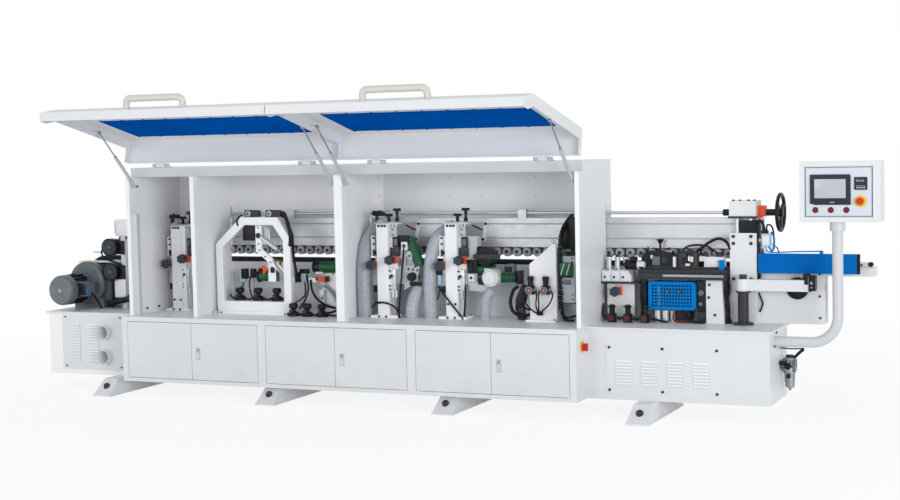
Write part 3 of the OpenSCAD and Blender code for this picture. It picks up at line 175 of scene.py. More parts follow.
def moulded_plastic():
    tree, given, out, place = finish_group("moulded_plastic")
    wear = given["Wear"]
    grain = add(tree, "ShaderNodeTexVoronoi", {"Vector": place, "Scale": 900.0}).outputs["Distance"]
    dust = spread(tree, noise(tree, place, 95.0, 5.0, 0.7), 0.0, 0.3, 0.45, 0.7)
    normal = tree.nodes.new("ShaderNodeNewGeometry").outputs["Normal"]
    facing_up = spread(tree, axes(tree, normal)["Z"], 0.15, 1.0, 0.1, 0.9)
    settled = times(tree, times(tree, dust, facing_up), wear)
    shade = times(tree, spread(tree, noise(tree, place, 30.0, 3.0), 0.0, 0.35), wear)
    toned = mix(tree, shade, given["Colour"], (0.02, 0.02, 0.022, 1))
    dusted = mix(tree, settled, toned, (0.42, 0.4, 0.37, 1))
    return give(tree, out, dusted, maths(tree, "ADD", given["Roughness"], times(tree, settled, 0.7)), grain)


def cast_housing():
    tree, given, out, place = finish_group("cast_housing")
    sand = noise(tree, place, 320.0, 3.0, 0.6)
    cloud = noise(tree, place, 14.0, 4.0, 0.6)
    chips = spread(tree, noise(tree, place, 70.0, 4.0, 0.75), 0.0, 0.3, 0.6, 0.72)
    toned = mix(tree, spread(tree, cloud, 0.0, 0.22), given["Colour"], (0.03, 0.035, 0.04, 1))
    worn = mix(tree, times(tree, chips, given["Wear"]), toned, (0.4, 0.42, 0.44, 1))
    change = spread(tree, cloud, -0.07, 0.07)
    return give(tree, out, worn, maths(tree, "ADD", given["Roughness"], change), sand)


GROUPS = {"coat": powder_coat(), "machined": machined_metal(), "moulded": moulded_plastic(),
    "cast": cast_housing()}


# A mask that is 1 inside the box between two corners
def box_zone():
    tree, given, out = new_group("ShaderNodeTree", "box_zone",
        [("Low", "Vector", (0, 0, 0)), ("High", "Vector", (1, 1, 1))], [("Mask", "Float")])
    here = axes(tree, surface(tree))
    low = axes(tree, given["Low"])
    high = axes(tree, given["High"])
    mask = 1.0
    for axis in "XYZ":
        over = maths(tree, "GREATER_THAN", here[axis], low[axis])
        under = maths(tree, "LESS_THAN", here[axis], high[axis])
        mask = times(tree, times(tree, over, under), mask)
    wire(tree, out, {"Mask": mask})
    return tree


ZONE = box_zone()

# Finishes: group, colour, roughness, metal, wear, depth of the relief in millimetres
FINISHES = {
    "white_paint": ("coat", (226, 228, 230), 0.38, 0.0, 0.5, 0.04),
    # The units' bright white; it is also painted light, as a brighter copy of the white paint on the
    # enclosure's inner faces, the main cabinet's top and the left cabinet's front
    "unit_white_and_painted_light": ("coat", (246, 247, 248), 0.36, 0.0, 0.15, 0.03),
    # A darker white; on the roof front it is painted shade of the open lids
    "soft_white_and_painted_shade": ("coat", (204, 206, 209), 0.4, 0.0, 0.3, 0.04),
    "grey_paint": ("coat", (186, 190, 195), 0.42, 0.0, 0.5, 0.04),
    "door_paint": ("coat", (224, 226, 229), 0.4, 0.0, 0.8, 0.05),
    "beam_alloy": ("machined", (206, 208, 212), 0.42, 0.55, 0.15, 0.03),
    "bright_steel": ("machined", (206, 209, 214), 0.36, 0.5, 0.1, 0.01),
    "dull_steel": ("machined", (150, 155, 162), 0.4, 0.85, 0.6, 0.03),
    "roller_steel": ("machined", (128, 134, 144), 0.42, 0.1, 0.2, 0.02),
    "hub_grey": ("cast", (226, 229, 233), 0.4, 0.0, 0.2, 0.03),
    "brass": ("machined", (196, 168, 92), 0.3, 0.9, 0.4, 0.02),
    "black_oxide": ("machined", (17, 19, 23), 0.42, 0.1, 0.15, 0.03),
    "black_plastic": ("moulded", (14, 16, 20), 0.45, 0.0, 0.2, 0.05),
    "slate_plastic": ("moulded", (50, 60, 74), 0.42, 0.0, 0.5, 0.05),
    "orange_plastic": ("moulded", (244, 92, 46), 0.4, 0.0, 0.3, 0.03),
    "cream_plastic": ("moulded", (212, 211, 202), 0.34, 0.0, 0.05, 0.03),
    "light_blue_plastic": ("moulded", (168, 196, 222), 0.35, 0.0, 0.2, 0.03),
    "yellow_plastic": ("moulded", (240, 198, 24), 0.36, 0.0, 0.3, 0.03),
    "red_plastic": ("moulded", (204, 50, 44), 0.32, 0.0, 0.2, 0.03),
    "dark_red": ("moulded", (116, 40, 42), 0.35, 0.0, 0.3, 0.03),
    "copper_cap": ("machined", (178, 116, 96), 0.38, 0.4, 0.4, 0.03),
    "chain_rubber": ("moulded", (34, 36, 40), 0.7, 0.0, 1.0, 0.12),
    "cable_black": ("moulded", (15, 18, 25), 0.5, 0.0, 0.2, 0.04),
    "motor_grey": ("cast", (104, 112, 116), 0.4, 0.1, 0.6, 0.12),
    "motor_dark": ("cast", (21, 24, 30), 0.42, 0.05, 0.2, 0.12),
    "motor_green": ("cast", (26, 92, 54), 0.36, 0.0, 0.4, 0.08),
    "motor_mint": ("cast", (74, 146, 96), 0.36, 0.0, 0.4, 0.08),
    "guard_blue": ("coat", (0, 122, 202), 0.4, 0.0, 0.05, 0.05),
    "fence_blue": ("coat", (0, 102, 184), 0.36, 0.0, 0.05, 0.02),
    "panel_face": ("coat", (212, 218, 228), 0.36, 0.0, 0.2, 0.03),
    "bezel_dark": ("moulded", (42, 50, 58), 0.4, 0.0, 0.3, 0.04),
    "screen_glass": ("moulded", (186, 190, 198), 0.14, 0.0, 0.1, 0.01),
    "screen_dark": ("moulded", (24, 28, 32), 0.14, 0.0, 0.1, 0.01),
    "segment_grey": ("moulded", (150, 160, 170), 0.3, 0.0, 0.1, 0.01),
}
# Share of mirror-like reflection, where it isn't the usual half
USUAL_MIRROR = 0.5
SPECULAR = {"guard_blue": 0.02, "fence_blue": 0.02, "black_plastic": 0.25, "cable_black": 0.2,
    "chain_rubber": 0.15, "bezel_dark": 0.2, "motor_dark": 0.25, "black_oxide": 0.25, "orange_plastic": 0.2,
    "red_plastic": 0.25, "dark_red": 0.2, "yellow_plastic": 0.2, "slate_plastic": 0.25, "motor_green": 0.25,
    "motor_grey": 0.3}
BUMP_STRENGTH = 0.35
made_finishes = {}


def finish_values(tree, name):
    """A finish's colour, roughness, height, metal and mirror share."""
    group, colour, roughness, metal, wear = FINISHES[name][:-1]
    links = {"Colour": srgb(*colour), "Roughness": roughness, "Wear": wear}
    used = add(tree, "ShaderNodeGroup", links, node_tree=GROUPS[group]).outputs
    return [used["Colour"], used["Roughness"], used["Height"], metal, SPECULAR.get(name, USUAL_MIRROR)]


def new_material(name):
    material = bpy.data.materials.new(name)
    material.use_nodes = True
    return material, material.node_tree, material.node_tree.nodes["Principled BSDF"]


def zoned(name, base, zones):
    """One finish all over, and another in each zone, which is given by two corners."""
    material, tree, shader = new_material(name)
    values = finish_values(tree, base)
    for low, high, other in zones:
        mask = add(tree, "ShaderNodeGroup", {"Low": row(low), "High": row(high)}, node_tree=ZONE).outputs[0]
        inner = finish_values(tree, other)
        colour = mix(tree, mask, values[0], inner[0])
        values = [colour] + [mix(tree, mask, a, b, "FLOAT") for a, b in zip(values[1:], inner[1:])]
    colour, roughness, height, metal, mirror = values
    relief = FINISHES[base][-1] / MM_PER_M
    bump = add(tree, "ShaderNodeBump", {"Height": height, "Strength": BUMP_STRENGTH, "Distance": relief})
    wire(tree, shader, {"Base Color": colour, "Roughness": roughness, "Normal": bump.outputs[0],
        "Metallic": metal, "Specular IOR Level": mirror})
    return material


def finish(name):
    if name not in made_finishes:
        made_finishes[name] = zoned(name, name, [])
    return made_finishes[name]


def window_acrylic():
    material, tree, shader = new_material("window_acrylic")
    place = surface(tree)
    cloud = spread(tree, noise(tree, place, 1.6), 0.0, 1.0)
    smear = noise(tree, place, 18.0, 5.0, 0.65)
    wire(tree, shader, {"Base Color": mix(tree, cloud, srgb(0, 80, 168), srgb(0, 92, 188)),
        "Roughness": spread(tree, smear, 0.3, 0.48, 0.35, 0.7), "Specular IOR Level": 0.0})
    return material


def clear_hose():
    material, tree, shader = new_material("clear_hose")
    place = surface(tree)
    cloud = noise(tree, place, 9.0, 4.0)
    chips = noise(tree, place, 130.0, 3.0, 0.7)
    colour = mix(tree, spread(tree, cloud, 0.0, 1.0), srgb(180, 187, 196), srgb(194, 200, 208))
    dusted = mix(tree, spread(tree, chips, 0.0, 0.25, 0.55, 0.7), colour, srgb(168, 160, 148))
    wire(tree, shader, {"Base Color": dusted, "Roughness": spread(tree, cloud, 0.18, 0.34),
        "Alpha": spread(tree, chips, 0.7, 0.86, 0.4, 0.7)})
    return material


def hose_rib():
    material, tree, shader = new_material("hose_rib")
    cloud = noise(tree, surface(tree), 40.0, 3.0)
    colour = mix(tree, spread(tree, cloud, 0.0, 1.0), srgb(188, 194, 203), srgb(202, 208, 215))
    wire(tree, shader, {"Base Color": colour, "Roughness": spread(tree, cloud, 0.3, 0.45)})
    return material


WINDOW = window_acrylic()
CLEAR_HOSE = clear_hose()
HOSE_RIB = hose_rib()

# CAD nodes of one finish
PLAIN_NODES = {
    "white_paint": ["right_base", "feet", "vent_panels", "dust_ports", "lid_left", "lid_right"],
    "unit_white_and_painted_light": ["end_trim_bracket"],
    "door_paint": ["door_1_left", "door_2_left", "door_3_left"],
    "grey_paint": ["lid_fittings", "spring_cylinders_left", "spring_cylinders_right"],
    "dull_steel": ["spring_rods_left", "spring_rods_right", "drive_sprocket", "idler_sprocket"],
    "roller_steel": ["pressure_rollers"],
    "cream_plastic": ["handle_left", "handle_right"],
    "chain_rubber": ["conveyor_chain"],
    "orange_plastic": ["counters"],
    "slate_plastic": ["knob_scrape_upper", "knob_scrape_lower", "knob_fine_upper", "knob_fine_lower",
        "knob_rough_upper", "knob_rough_lower", "knob_glue"],
    "dark_red": ["button_1", "button_2", "button_3"],
    "red_plastic": ["emergency_stop", "main_switch"],
}


def dress(name, material):
    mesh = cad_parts[name].data
    mesh.materials.clear()
    mesh.materials.append(material)


for finish_name, names in PLAIN_NODES.items():
    for node_name in names:
        dress(node_name, finish(finish_name))
dress("window_left", WINDOW)
dress("window_right", WINDOW)
dress("dust_hoses", CLEAR_HOSE)

# CAD nodes of several finishes: the base finish, then each zone's corners and the finish in it
LIFTS = (round((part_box("lift_columns")[0].x - ORIGIN.x) * MM_PER_M), 2383)
BAYS = (-1058, 0, 1058)
COLUMNS = ((-1478, 430, 1115), (140, 345, 1135), (608, 370, 1135))
HEAD_ZONES = []
for lift in LIFTS:
    HEAD_ZONES.append(((lift - 8, 520, 1159.5), (lift + 168, 685, 1172.5), "black_oxide"))
    HEAD_ZONES.append(((lift - 3, 520, 1172.5), (lift + 161, 685, 1270), "white_paint"))
COLUMN_ZONES = [((x - 30, y + 20, top + low), (x + 160, y + 90, top + high), zone_finish)
    for low, high, zone_finish in ((-0.5, 12.2, "grey_paint"), (12.2, 112, "black_plastic"))
    for x, y, top in COLUMNS]
ZONED_NODES = {
    "main_base": ("white_paint", [
        # Painted light: the top face gets a brighter white than the rest of the cabinet
        ((-1601, -2, 533.5), (1601, 700, 536), "unit_white_and_painted_light")]),
    "left_base": ("white_paint", [
        # Painted light: the front face gets a brighter white than the rest of the cabinet
        ((-2345, 170, 100), (-1599, 185, 536), "unit_white_and_painted_light")]),
    # Painted light: the inner faces get a brighter white than the outer faces of the same sheets, against the
    # shade inside the enclosure
    "enclosure": ("unit_white_and_painted_light", [
        # Painted shade: the roof front gets a darker white for the shade of the open lids
        ((-1601, 158, 1459.2), (1601, 162, 1522), "soft_white_and_painted_shade"),
        ((-1601, 162, 1515), (1601, 694, 1522), "white_paint"),
        ((-1601, 691, 1140), (1601, 694, 1522), "white_paint"),
        ((-1601, 95, 534), (-1599.2, 694, 1522), "white_paint"),
        ((1599.2, 95, 534), (1601, 694, 1522), "white_paint"),
        ((28, 686, 1140), (1599, 690.5, 1459.2), "white_paint")]),
    "gear_motor": ("motor_grey", [
        ((-2380, 266.5, 560), (-2168.5, 412.5, 800), "motor_dark")]),
    "pressure_beam": ("beam_alloy", HEAD_ZONES + [
        ((2543.5, 560, 1160), (2590, 640, 1240), "orange_plastic")]),
    "lift_columns": ("white_paint", [
        ((-1600, 540, 1072.5), (2600, 600, 1300), "bright_steel")]),
    "handwheel": ("black_plastic", [
        ((-1600, 585, 1175), (2590, 615, 1210), "bright_steel")]),
    "buffing_unit": ("white_paint", [
        ((-2050, 410, 730), (-1919.5, 550, 1030), "motor_dark")]),
    "unit_columns": ("unit_white_and_painted_light", COLUMN_ZONES),
    "trim_heads": ("motor_green", [
        ((260, 380, 985), (334, 455, 1060), "black_plastic"),
        ((260, 386, 745), (371, 455, 868), "grey_paint"),
        ((340, 370, 765), (400, 386.5, 828), "black_plastic"),
        ((371, 370, 765), (402, 455, 828), "black_plastic"),
        ((730, 411, 745), (806, 480, 1062), "grey_paint"),
        ((806.5, 399, 990), (940, 480, 1062), "grey_paint"),
        ((806.5, 399, 868), (940, 480, 990), "black_plastic"),
        ((855, 371, 741), (966, 411, 853), "white_paint"),
        ((907, 371, 741), (966, 480, 853), "white_paint"),
        ((1056, 380, 740), (1075, 490, 860), "motor_dark")]),
    "corner_arch": ("unit_white_and_painted_light", [
        ((-825, 330, 1179.5), (-560, 372, 1230), "black_oxide"),
        ((-375, 390, 798), (-316, 490, 898), "motor_dark"),
        ((-316, 390, 806), (-196, 490, 895), "motor_green"),
        ((-345, 437, 590), (-145, 451, 770), "grey_paint")]),
    "corner_arm": ("unit_white_and_painted_light", [
        ((-872, 365, 1020), (-771, 420, 1125), "black_plastic"),
        ((-800, 380, 735), (-768, 480, 840), "motor_dark"),
        ((-768, 380, 735), (-690.5, 480, 840), "motor_green"),
        ((-691, 386, 745), (-630, 440, 900), "motor_grey")]),
    "end_trim_carriage": ("grey_paint", [
        ((1360, 460, 836), (1460, 560, 970), "motor_green"),
        ((1360, 460, 944), (1460, 560, 970), "motor_dark")]),
    "glue_stand": ("white_paint", [
        ((1599, 468, 765.5), (1841, 590, 778), "black_oxide"),
        ((1612, 495, 848.5), (1745, 545, 930), "bright_steel"),
        ((1744, 480, 849), (1823.5, 552, 912), "black_plastic"),
        ((1833, 468, 794), (2377, 590, 869.5), "black_oxide"),
        ((1836, 490, 534), (1884, 548, 795), "black_oxide"),
        ((1839, 530, 869.5), (2042, 590, 962), "motor_dark"),
        ((1900, 530, 961), (2000, 590, 1040), "black_plastic"),
        ((2050, 500, 869.5), (2215, 590, 975), "black_oxide"),
        ((2400, 420, 534), (2560, 541, 840), "black_oxide")]),
    "glue_pot": ("motor_dark", [
        ((1896, 479, 612), (2190, 485, 784), "guard_blue"),
        ((1896, 479, 612), (1906, 578, 784), "guard_blue"),
        ((2178, 479, 612), (2190, 578, 784), "guard_blue"),
        ((1896, 479, 768), (2190, 578, 784), "guard_blue"),
        ((1915, 505, 534), (2062, 556, 605), "bright_steel")]),
    "control_box": ("white_paint", [
        ((2882, 248, 1178), (3264, 251, 1467), "panel_face"),
        ((2936, 243, 1249), (3142, 250, 1413), "bezel_dark"),
        ((3159, 243, 1332), (3232, 250, 1405), "bezel_dark"),
        ((2690, 200, 300), (3320, 480, 1152), "soft_white_and_painted_shade")]),
    "air_valves": ("black_plastic", [
        ((2690, 430, 273), (2790, 510, 340), "motor_grey"),
        ((2700, 440, 159), (2790, 510, 272), "dull_steel")]),
    "infeed_fence": ("fence_blue", [
        ((3124, 520, 830), (3145, 555, 960), "black_plastic"),
        ((2600, 550.5, 830), (3000, 592, 860), "dull_steel")]),
    "tape_arm": ("white_paint", [
        ((2862, 440, 735), (2905, 515, 840), "black_plastic")]),
    "conveyor_track": ("white_paint", [
        ((2700, 570, 675), (2845, 589.5, 815), "black_plastic")]),
}
for number, bay in enumerate(BAYS, 1):
    ZONED_NODES[f"door_{number}_right"] = ("door_paint", [
        ((bay + 36, -9, 266), (bay + 67, -0.2, 346), "grey_paint"),
        ((bay + 38, -9, 270), (bay + 64, -3.2, 316), "hub_grey")])
for node_name, (base, zones) in ZONED_NODES.items():
    dress(node_name, zoned(node_name, base, zones))


# Mesh pieces: several shapes in one mesh, each with its finish
ON_AXIS = 0.01
BEVEL_SHARE = 0.3
CHAMFER_SHARE = 0.4


class Piece:
    def __init__(self, name, body="frame", slot=None, place=None):
        self.name = name
        self.body = body
        self.slot = slot
        self.place = place
        self.work = bmesh.new()
        self.finishes = []

    def keep(self, faces, finish_name):
        if finish_name not in self.finishes:
            self.finishes.append(finish_name)
        index = self.finishes.index(finish_name)
        for face in faces:
            face.material_index = index
            face.smooth = True

    def round_edges(self, verts, edge, finish_name):
        self.keep({f for v in verts for f in v.link_faces}, finish_name)
        edges = list({e for v in verts for e in v.link_edges})
        bmesh.ops.bevel(self.work, geom=edges, offset=edge, segments=2, affect="EDGES", profile=0.6,
            material=-1)

    def box(self, low, high, finish_name, edge=1.5, turn=None):
        low = Vector(low)
        high = Vector(high)
        spin = Matrix.Rotation(math.radians(turn[1]), 4, turn[0]) if turn else Matrix()
        size = high - low
        place = Matrix.Translation((low + high) / 2) @ spin @ Matrix.Diagonal((size.x, size.y, size.z, 1))
        made = bmesh.ops.create_cube(self.work, size=1.0, matrix=place)
        self.round_edges(made["verts"], min(edge, min(size) * BEVEL_SHARE), finish_name)

    def prism(self, outline, axis, low, high, finish_name, edge=1.0):
        def corner(a, b, depth):
            return {"x": (depth, a, b), "y": (a, depth, b), "z": (a, b, depth)}[axis]
        near = [self.work.verts.new(corner(a, b, low)) for a, b in outline]
        far = [self.work.verts.new(corner(a, b, high)) for a, b in outline]
        self.work.faces.new(near)
        self.work.faces.new(far[::-1])
        for i in range(len(near)):
            j = (i + 1) % len(near)
            self.work.faces.new((near[i], far[i], far[j], near[j]))
        self.round_edges(near + far, edge, finish_name)

    def ring(self, middle, side, up, radius, sides):
        return [self.work.verts.new(middle + (side * math.cos(a) + up * math.sin(a)) * radius)
            for a in (2 * math.pi * k / sides for k in range(sides))]

    def lathe(self, start, aim, profile, finish_name, sides=28):
        """The profile's (height, radius) points turned about the aim."""
        aim = Vector(aim).normalized()
        side = aim.orthogonal().normalized()
        up = aim.cross(side)
        start = Vector(start)
        rings = []
        for height, radius in profile:
            middle = start + aim * height
            if radius < ON_AXIS:
                rings.append([self.work.verts.new(middle)])
            else:
                rings.append(self.ring(middle, side, up, radius, sides))
        faces = []
        for near, far in zip(rings, rings[1:]):
            for k in range(sides):
                n = (k + 1) % sides
                quad = [near[k % len(near)], near[n % len(near)], far[n % len(far)], far[k % len(far)]]
                quad = list(dict.fromkeys(quad))
                if len(quad) > 2:
                    faces.append(self.work.faces.new(quad))
        for end in (rings[0], rings[-1]):
            if len(end) > 1 and profile[0] != profile[-1]:
                faces.append(self.work.faces.new(end))
        self.keep(faces, finish_name)

    def turned(self, start, aim, outline, finish_name, sides=28):
        """A solid inside the outline's (height, radius) points."""
        low = outline[0][0]
        high, radius = outline[-1]
        top = [(high, 0)] if radius else []
        self.lathe(start, aim, [(low, 0)] + outline + top, finish_name, sides)

    def hollow(self, start, aim, bore, outline, finish_name, sides=28):
        """A ring between a bore and the outline's (height, radius) points."""
        low = outline[0][0]
        high = outline[-1][0]
        self.lathe(start, aim, [(low, bore)] + outline + [(high, bore), (low, bore)], finish_name, sides)

    def rod(self, start, end, radius, finish_name, edge=1.0, sides=24):
        along = Vector(end) - Vector(start)
        length = along.length
        edge = min(edge, radius * CHAMFER_SHARE, length * CHAMFER_SHARE)
        outline = [(0, radius - edge), (edge, radius), (length - edge, radius), (length, radius - edge)]
        self.turned(start, along, outline, finish_name, sides)

    def tube(self, points, radius, finish_name, sides=8, steps=6):
        path = smooth_path(points, steps)
        rings = []
        side = None
        for i, here in enumerate(path):
            ahead = (path[min(i + 1, len(path) - 1)] - path[max(i - 1, 0)]).normalized()
            side = ahead.orthogonal() if side is None else side - ahead * side.dot(ahead)
            side = side.normalized()
            rings.append(self.ring(here, side, ahead.cross(side), radius, sides))
        faces = [self.work.faces.new((near[k], near[(k + 1) % sides], far[(k + 1) % sides], far[k]))
            for near, far in zip(rings, rings[1:]) for k in range(sides)]
        faces.append(self.work.faces.new(rings[0]))
        faces.append(self.work.faces.new(rings[-1]))
        self.keep(faces, finish_name)

    def lead(self, points, radius, sides=8):
        self.tube(points, radius, "cable_black", sides)

    def done(self):
        mesh = bpy.data.meshes.new(self.name)
        bmesh.ops.recalc_face_normals(self.work, faces=self.work.faces[:])
        self.work.transform(TO_ROW @ self.place if self.place else TO_ROW)
        self.work.to_mesh(mesh)
        self.work.free()
        for finish_name in self.finishes:
            mesh.materials.append(finish(finish_name))
        mesh.set_sharp_from_angle(angle=SHARP_ANGLE)
        made = placed(self.name, mesh)
        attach(made, self.body)


def smooth_path(points, steps):
    """A Catmull-Rom curve through the points."""
    points = [Vector(p) for p in points]
    if len(points) < 3:
        return points
    path = []
    for i in range(len(points) - 1):
        a = points[max(i - 1, 0)]
        b = points[i]
        c = points[i + 1]
        d = points[min(i + 2, len(points) - 1)]
        for k in range(steps):
            t = k / steps
            path.append(0.5 * (2 * b + (c - a) * t + (2 * a - 5 * b + 4 * c - d) * t * t
                + (3 * b - a - 3 * c + d) * t * t * t))
    path.append(points[-1])
    return path


# Geometry Nodes: a shape set on points, each with its aim and size
def instancer(name, shape):
    tree, given, out = new_group("GeometryNodeTree", name,
        [("Points", "Geometry", None), ("Finish", "Material", None)], [("Pieces", "Geometry")])
    aim = add(tree, "GeometryNodeInputNamedAttribute", {"Name": "aim"}, data_type="FLOAT_VECTOR")
    size = add(tree, "GeometryNodeInputNamedAttribute", {"Name": "size"}, data_type="FLOAT")
    turn = add(tree, "FunctionNodeAlignRotationToVector", {"Vector": aim.outputs["Attribute"]}, axis="Z")
    copies = add(tree, "GeometryNodeInstanceOnPoints", {"Points": given["Points"], "Instance": shape(tree),
        "Rotation": turn.outputs[0], "Scale": size.outputs["Attribute"]})
    wire(tree, out, {0: solid(tree, realized(tree, copies), given["Finish"])})
    return tree


def realized(tree, copies):
    return add(tree, "GeometryNodeRealizeInstances", {"Geometry": copies.outputs[0]}).outputs[0]


def solid(tree, shape, material):
    return add(tree, "GeometryNodeSetMaterial", {"Geometry": shape, "Material": material}).outputs[0]


def moved(tree, shape, offset):
    return add(tree, "GeometryNodeTransform", {"Geometry": shape, "Translation": offset}).outputs[0]


def circle(tree, sides, radius):
    return add(tree, "GeometryNodeCurvePrimitiveCircle", {"Resolution": sides, "Radius": radius}).outputs[0]


def swept(tree, curve, outline, caps=False):
    links = {"Curve": curve, "Profile Curve": outline, "Fill Caps": caps}
    return add(tree, "GeometryNodeCurveToMesh", links).outputs[0]


def drum(tree, radius, low, high, sides=12):
    made = add(tree, "GeometryNodeMeshCylinder", {"Vertices": sides, "Radius": radius, "Depth": high - low})
    return moved(tree, made.outputs["Mesh"], (0, 0, (low + high) / 2))


def brick(tree, size, middle):
    return moved(tree, add(tree, "GeometryNodeMeshCube", {"Size": size}).outputs["Mesh"], middle)


def joined(tree, *shapes):
    both = tree.nodes.new("GeometryNodeJoinGeometry")
    for shape in reversed(shapes):
        tree.links.new(shape, both.inputs[0])
    return both.outputs[0]


def hoop(tree, radius, wire_radius, height=0.0, sides=40):
    return moved(tree, swept(tree, circle(tree, sides, radius), circle(tree, 6, wire_radius)), (0, 0, height))


def socket_head(tree):
    head = add(tree, "GeometryNodeMeshCylinder", {"Vertices": 10, "Radius": 1.0, "Depth": 1.0}).outputs
    inset = add(tree, "GeometryNodeExtrudeMesh", {"Mesh": head["Mesh"], "Selection": head["Top"],
        "Offset Scale": 0.0}, mode="FACES").outputs
    small = add(tree, "GeometryNodeScaleElements", {"Geometry": inset["Mesh"], "Selection": inset["Top"],
        "Scale": 0.6}).outputs[0]
    sunk = add(tree, "GeometryNodeExtrudeMesh", {"Mesh": small, "Selection": inset["Top"],
        "Offset Scale": -0.55}, mode="FACES").outputs["Mesh"]
    return moved(tree, sunk, (0, 0, 0.3))


def fan_slots(tree):
    hoops = [hoop(tree, 0.24 + 0.12 * k, 0.022) for k in range(6)]
    return joined(tree, *hoops, drum(tree, 0.16, -0.05, 0.05, 20))


def roller_hub(tree):
    return joined(tree, hoop(tree, 1.02, 0.13, 0.0, 24), hoop(tree, 0.6, 0.1, 0.05, 20))


def hub_bolt(tree):
    return joined(tree, drum(tree, 1.0, -0.2, 0.6, 12), drum(tree, 0.55, 0.5, 1.0, 6))


def chain_link(tree):
    plates = [brick(tree, (1.0, 0.12, 1.25), (0, side, 0)) for side in (0.5, -0.5)]
    return joined(tree, *plates, *[brick(tree, (0.12, 1.0, 0.7), (side, 0, 0)) for side in (0.45, -0.45)])


def louvre_hood(tree):
    return joined(tree, brick(tree, (1.0, 0.075, 0.05), (0, 0, 0.025)),
        brick(tree, (0.97, 0.045, 0.05), (0, -0.02, 0.07)))


# A thin dull strip: painted shadow under a louvre hood
def louvre_painted_shadow(tree):
    return brick(tree, (0.98, 0.045, 0.006), (0, 0, 0.003))


TREES = {shape.__name__: instancer(shape.__name__, shape)
    for shape in (socket_head, fan_slots, roller_hub, hub_bolt, chain_link, louvre_hood, louvre_painted_shadow)}


def plain_mesh(holder, values, tree):
    """Gives the holder the tree's result as a mesh of its own."""
    change = holder.modifiers.new("tree", "NODES")
    change.node_group = tree
    ids = {item.name: item.identifier for item in tree.interface.items_tree if item.in_out == "INPUT"}
    for label, value in values.items():
        change[ids[label]] = value
    bpy.context.view_layer.update()
    graph = bpy.context.evaluated_depsgraph_get()
    mesh = bpy.data.meshes.new_from_object(holder.evaluated_get(graph))
    holder.modifiers.clear()
    holder.data = mesh
    mesh.name = holder.name


def smooth_faces(mesh):
    for face in mesh.polygons:
        face.use_smooth = True


def scatter(name, tree_name, spots, finish_name, body="frame", place=None):
    """One mesh of the tree's shape at each (point, aim, size)."""
    mesh = bpy.data.meshes.new(name + "_points")
    whole = TO_ROW @ place if place else TO_ROW
    mesh.from_pydata([whole @ Vector(p) for p, aim, size in spots], [], [])
    turn = place.to_3x3() if place else Matrix.Identity(3)
    aims = mesh.attributes.new("aim", "FLOAT_VECTOR", "POINT")
    aims.data.foreach_set("vector", [v for p, aim, size in spots for v in turn @ Vector(aim)])
    sizes = mesh.attributes.new("size", "FLOAT", "POINT")
    sizes.data.foreach_set("value", [size / MM_PER_M for p, aim, size in spots])
    holder = placed(name, mesh)
    plain_mesh(holder, {"Finish": finish(finish_name)}, TREES[tree_name])
    holder.data.set_sharp_from_angle(angle=SHARP_ANGLE)
    smooth_faces(holder.data)
    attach(holder, body)


screws = {}


def screw(point, aim=FRONT, size=6.0, body="frame"):
    screws.setdefault(body, []).append((point, aim, size))


# Dust hoses: a thin wall with rings at an even pitch along the route
def ribbed_hose():
    tree, given, out = new_group("GeometryNodeTree", "ribbed_hose", [("Route", "Geometry", None),
        ("Radius", "Float", None), ("Pitch", "Float", None), ("Wire", "Float", None),
        ("Wall", "Material", None), ("Rib", "Material", None)], [("Hose", "Geometry")])
    route = add(tree, "GeometryNodeMeshToCurve", {"Mesh": given["Route"]}).outputs[0]
    inner = maths(tree, "SUBTRACT", given["Radius"], given["Wire"])
    wall = swept(tree, route, circle(tree, 24, inner), True)
    spacing = {"Curve": route, "Length": given["Pitch"]}
    stops = add(tree, "GeometryNodeCurveToPoints", spacing, mode="LENGTH").outputs
    rib = swept(tree, circle(tree, 24, inner), circle(tree, 6, given["Wire"]))
    ribs = add(tree, "GeometryNodeInstanceOnPoints", {"Points": stops["Points"], "Instance": rib,
        "Rotation": stops["Rotation"]})
    pale = solid(tree, realized(tree, ribs), given["Rib"])
    wire(tree, out, {0: joined(tree, solid(tree, wall, given["Wall"]), pale)})
    return tree


HOSE_TREE = ribbed_hose()
RIB_PITCH_M = 0.0115
RIB_WIRE_M = 0.0027
HOSE_COLLAR = 20


def quadratic(a, b, c, steps=9):
    a = Vector(a)
    b = Vector(b)
    c = Vector(c)
    return [(1 - t) ** 2 * a + 2 * t * (1 - t) * b + t * t * c for t in (k / steps for k in range(steps + 1))]


def dust_hose(name, radius, declared, foot, *bends):
    """A hose that stands straight up from its foot in a collar and then follows the bends."""
    route = [Vector(foot), Vector(foot) + Vector((0, 0, HOSE_COLLAR))]
    for bend in bends:
        route += quadratic(*bend)
    points = [row(p) for p in route]
    mesh = bpy.data.meshes.new(name + "_route")
    mesh.from_pydata(points, [(i, i + 1) for i in range(len(points) - 1)], [])
    hose = placed(name, mesh)
    plain_mesh(hose, {"Radius": radius / MM_PER_M, "Pitch": RIB_PITCH_M, "Wire": RIB_WIRE_M, "Wall": CLEAR_HOSE,
        "Rib": HOSE_RIB}, HOSE_TREE)
    smooth_faces(hose.data)
    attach(hose, "frame")
    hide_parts("dust_hoses")


dust_hose("fine_trim_hose", 45, True, (30, 372, CABINET_TOP),
    ((29, 372, 655), (20, 372, 905), (22, 430, 995)),
    ((24, 450, 1019), (30, 500, 1090), (100, 505, 1120)))
dust_hose("rough_trim_hose", 43, True, (488, 395, CABINET_TOP),
    ((487, 395, 655), (476, 395, 935), (520, 440, 1035)),
    ((530, 450, 1051), (560, 500, 1095), (600, 520, 1107)))
dust_hose("fine_hood_hose", 42, False, (372, 362, CABINET_TOP),
    ((373, 364, 595), (376, 380, 675), (396, 420, 713)))
dust_hose("rough_hood_hose", 35, False, (858, 410, CABINET_TOP),
    ((858, 410, 595), (858, 410, 675), (896, 424, 715)))


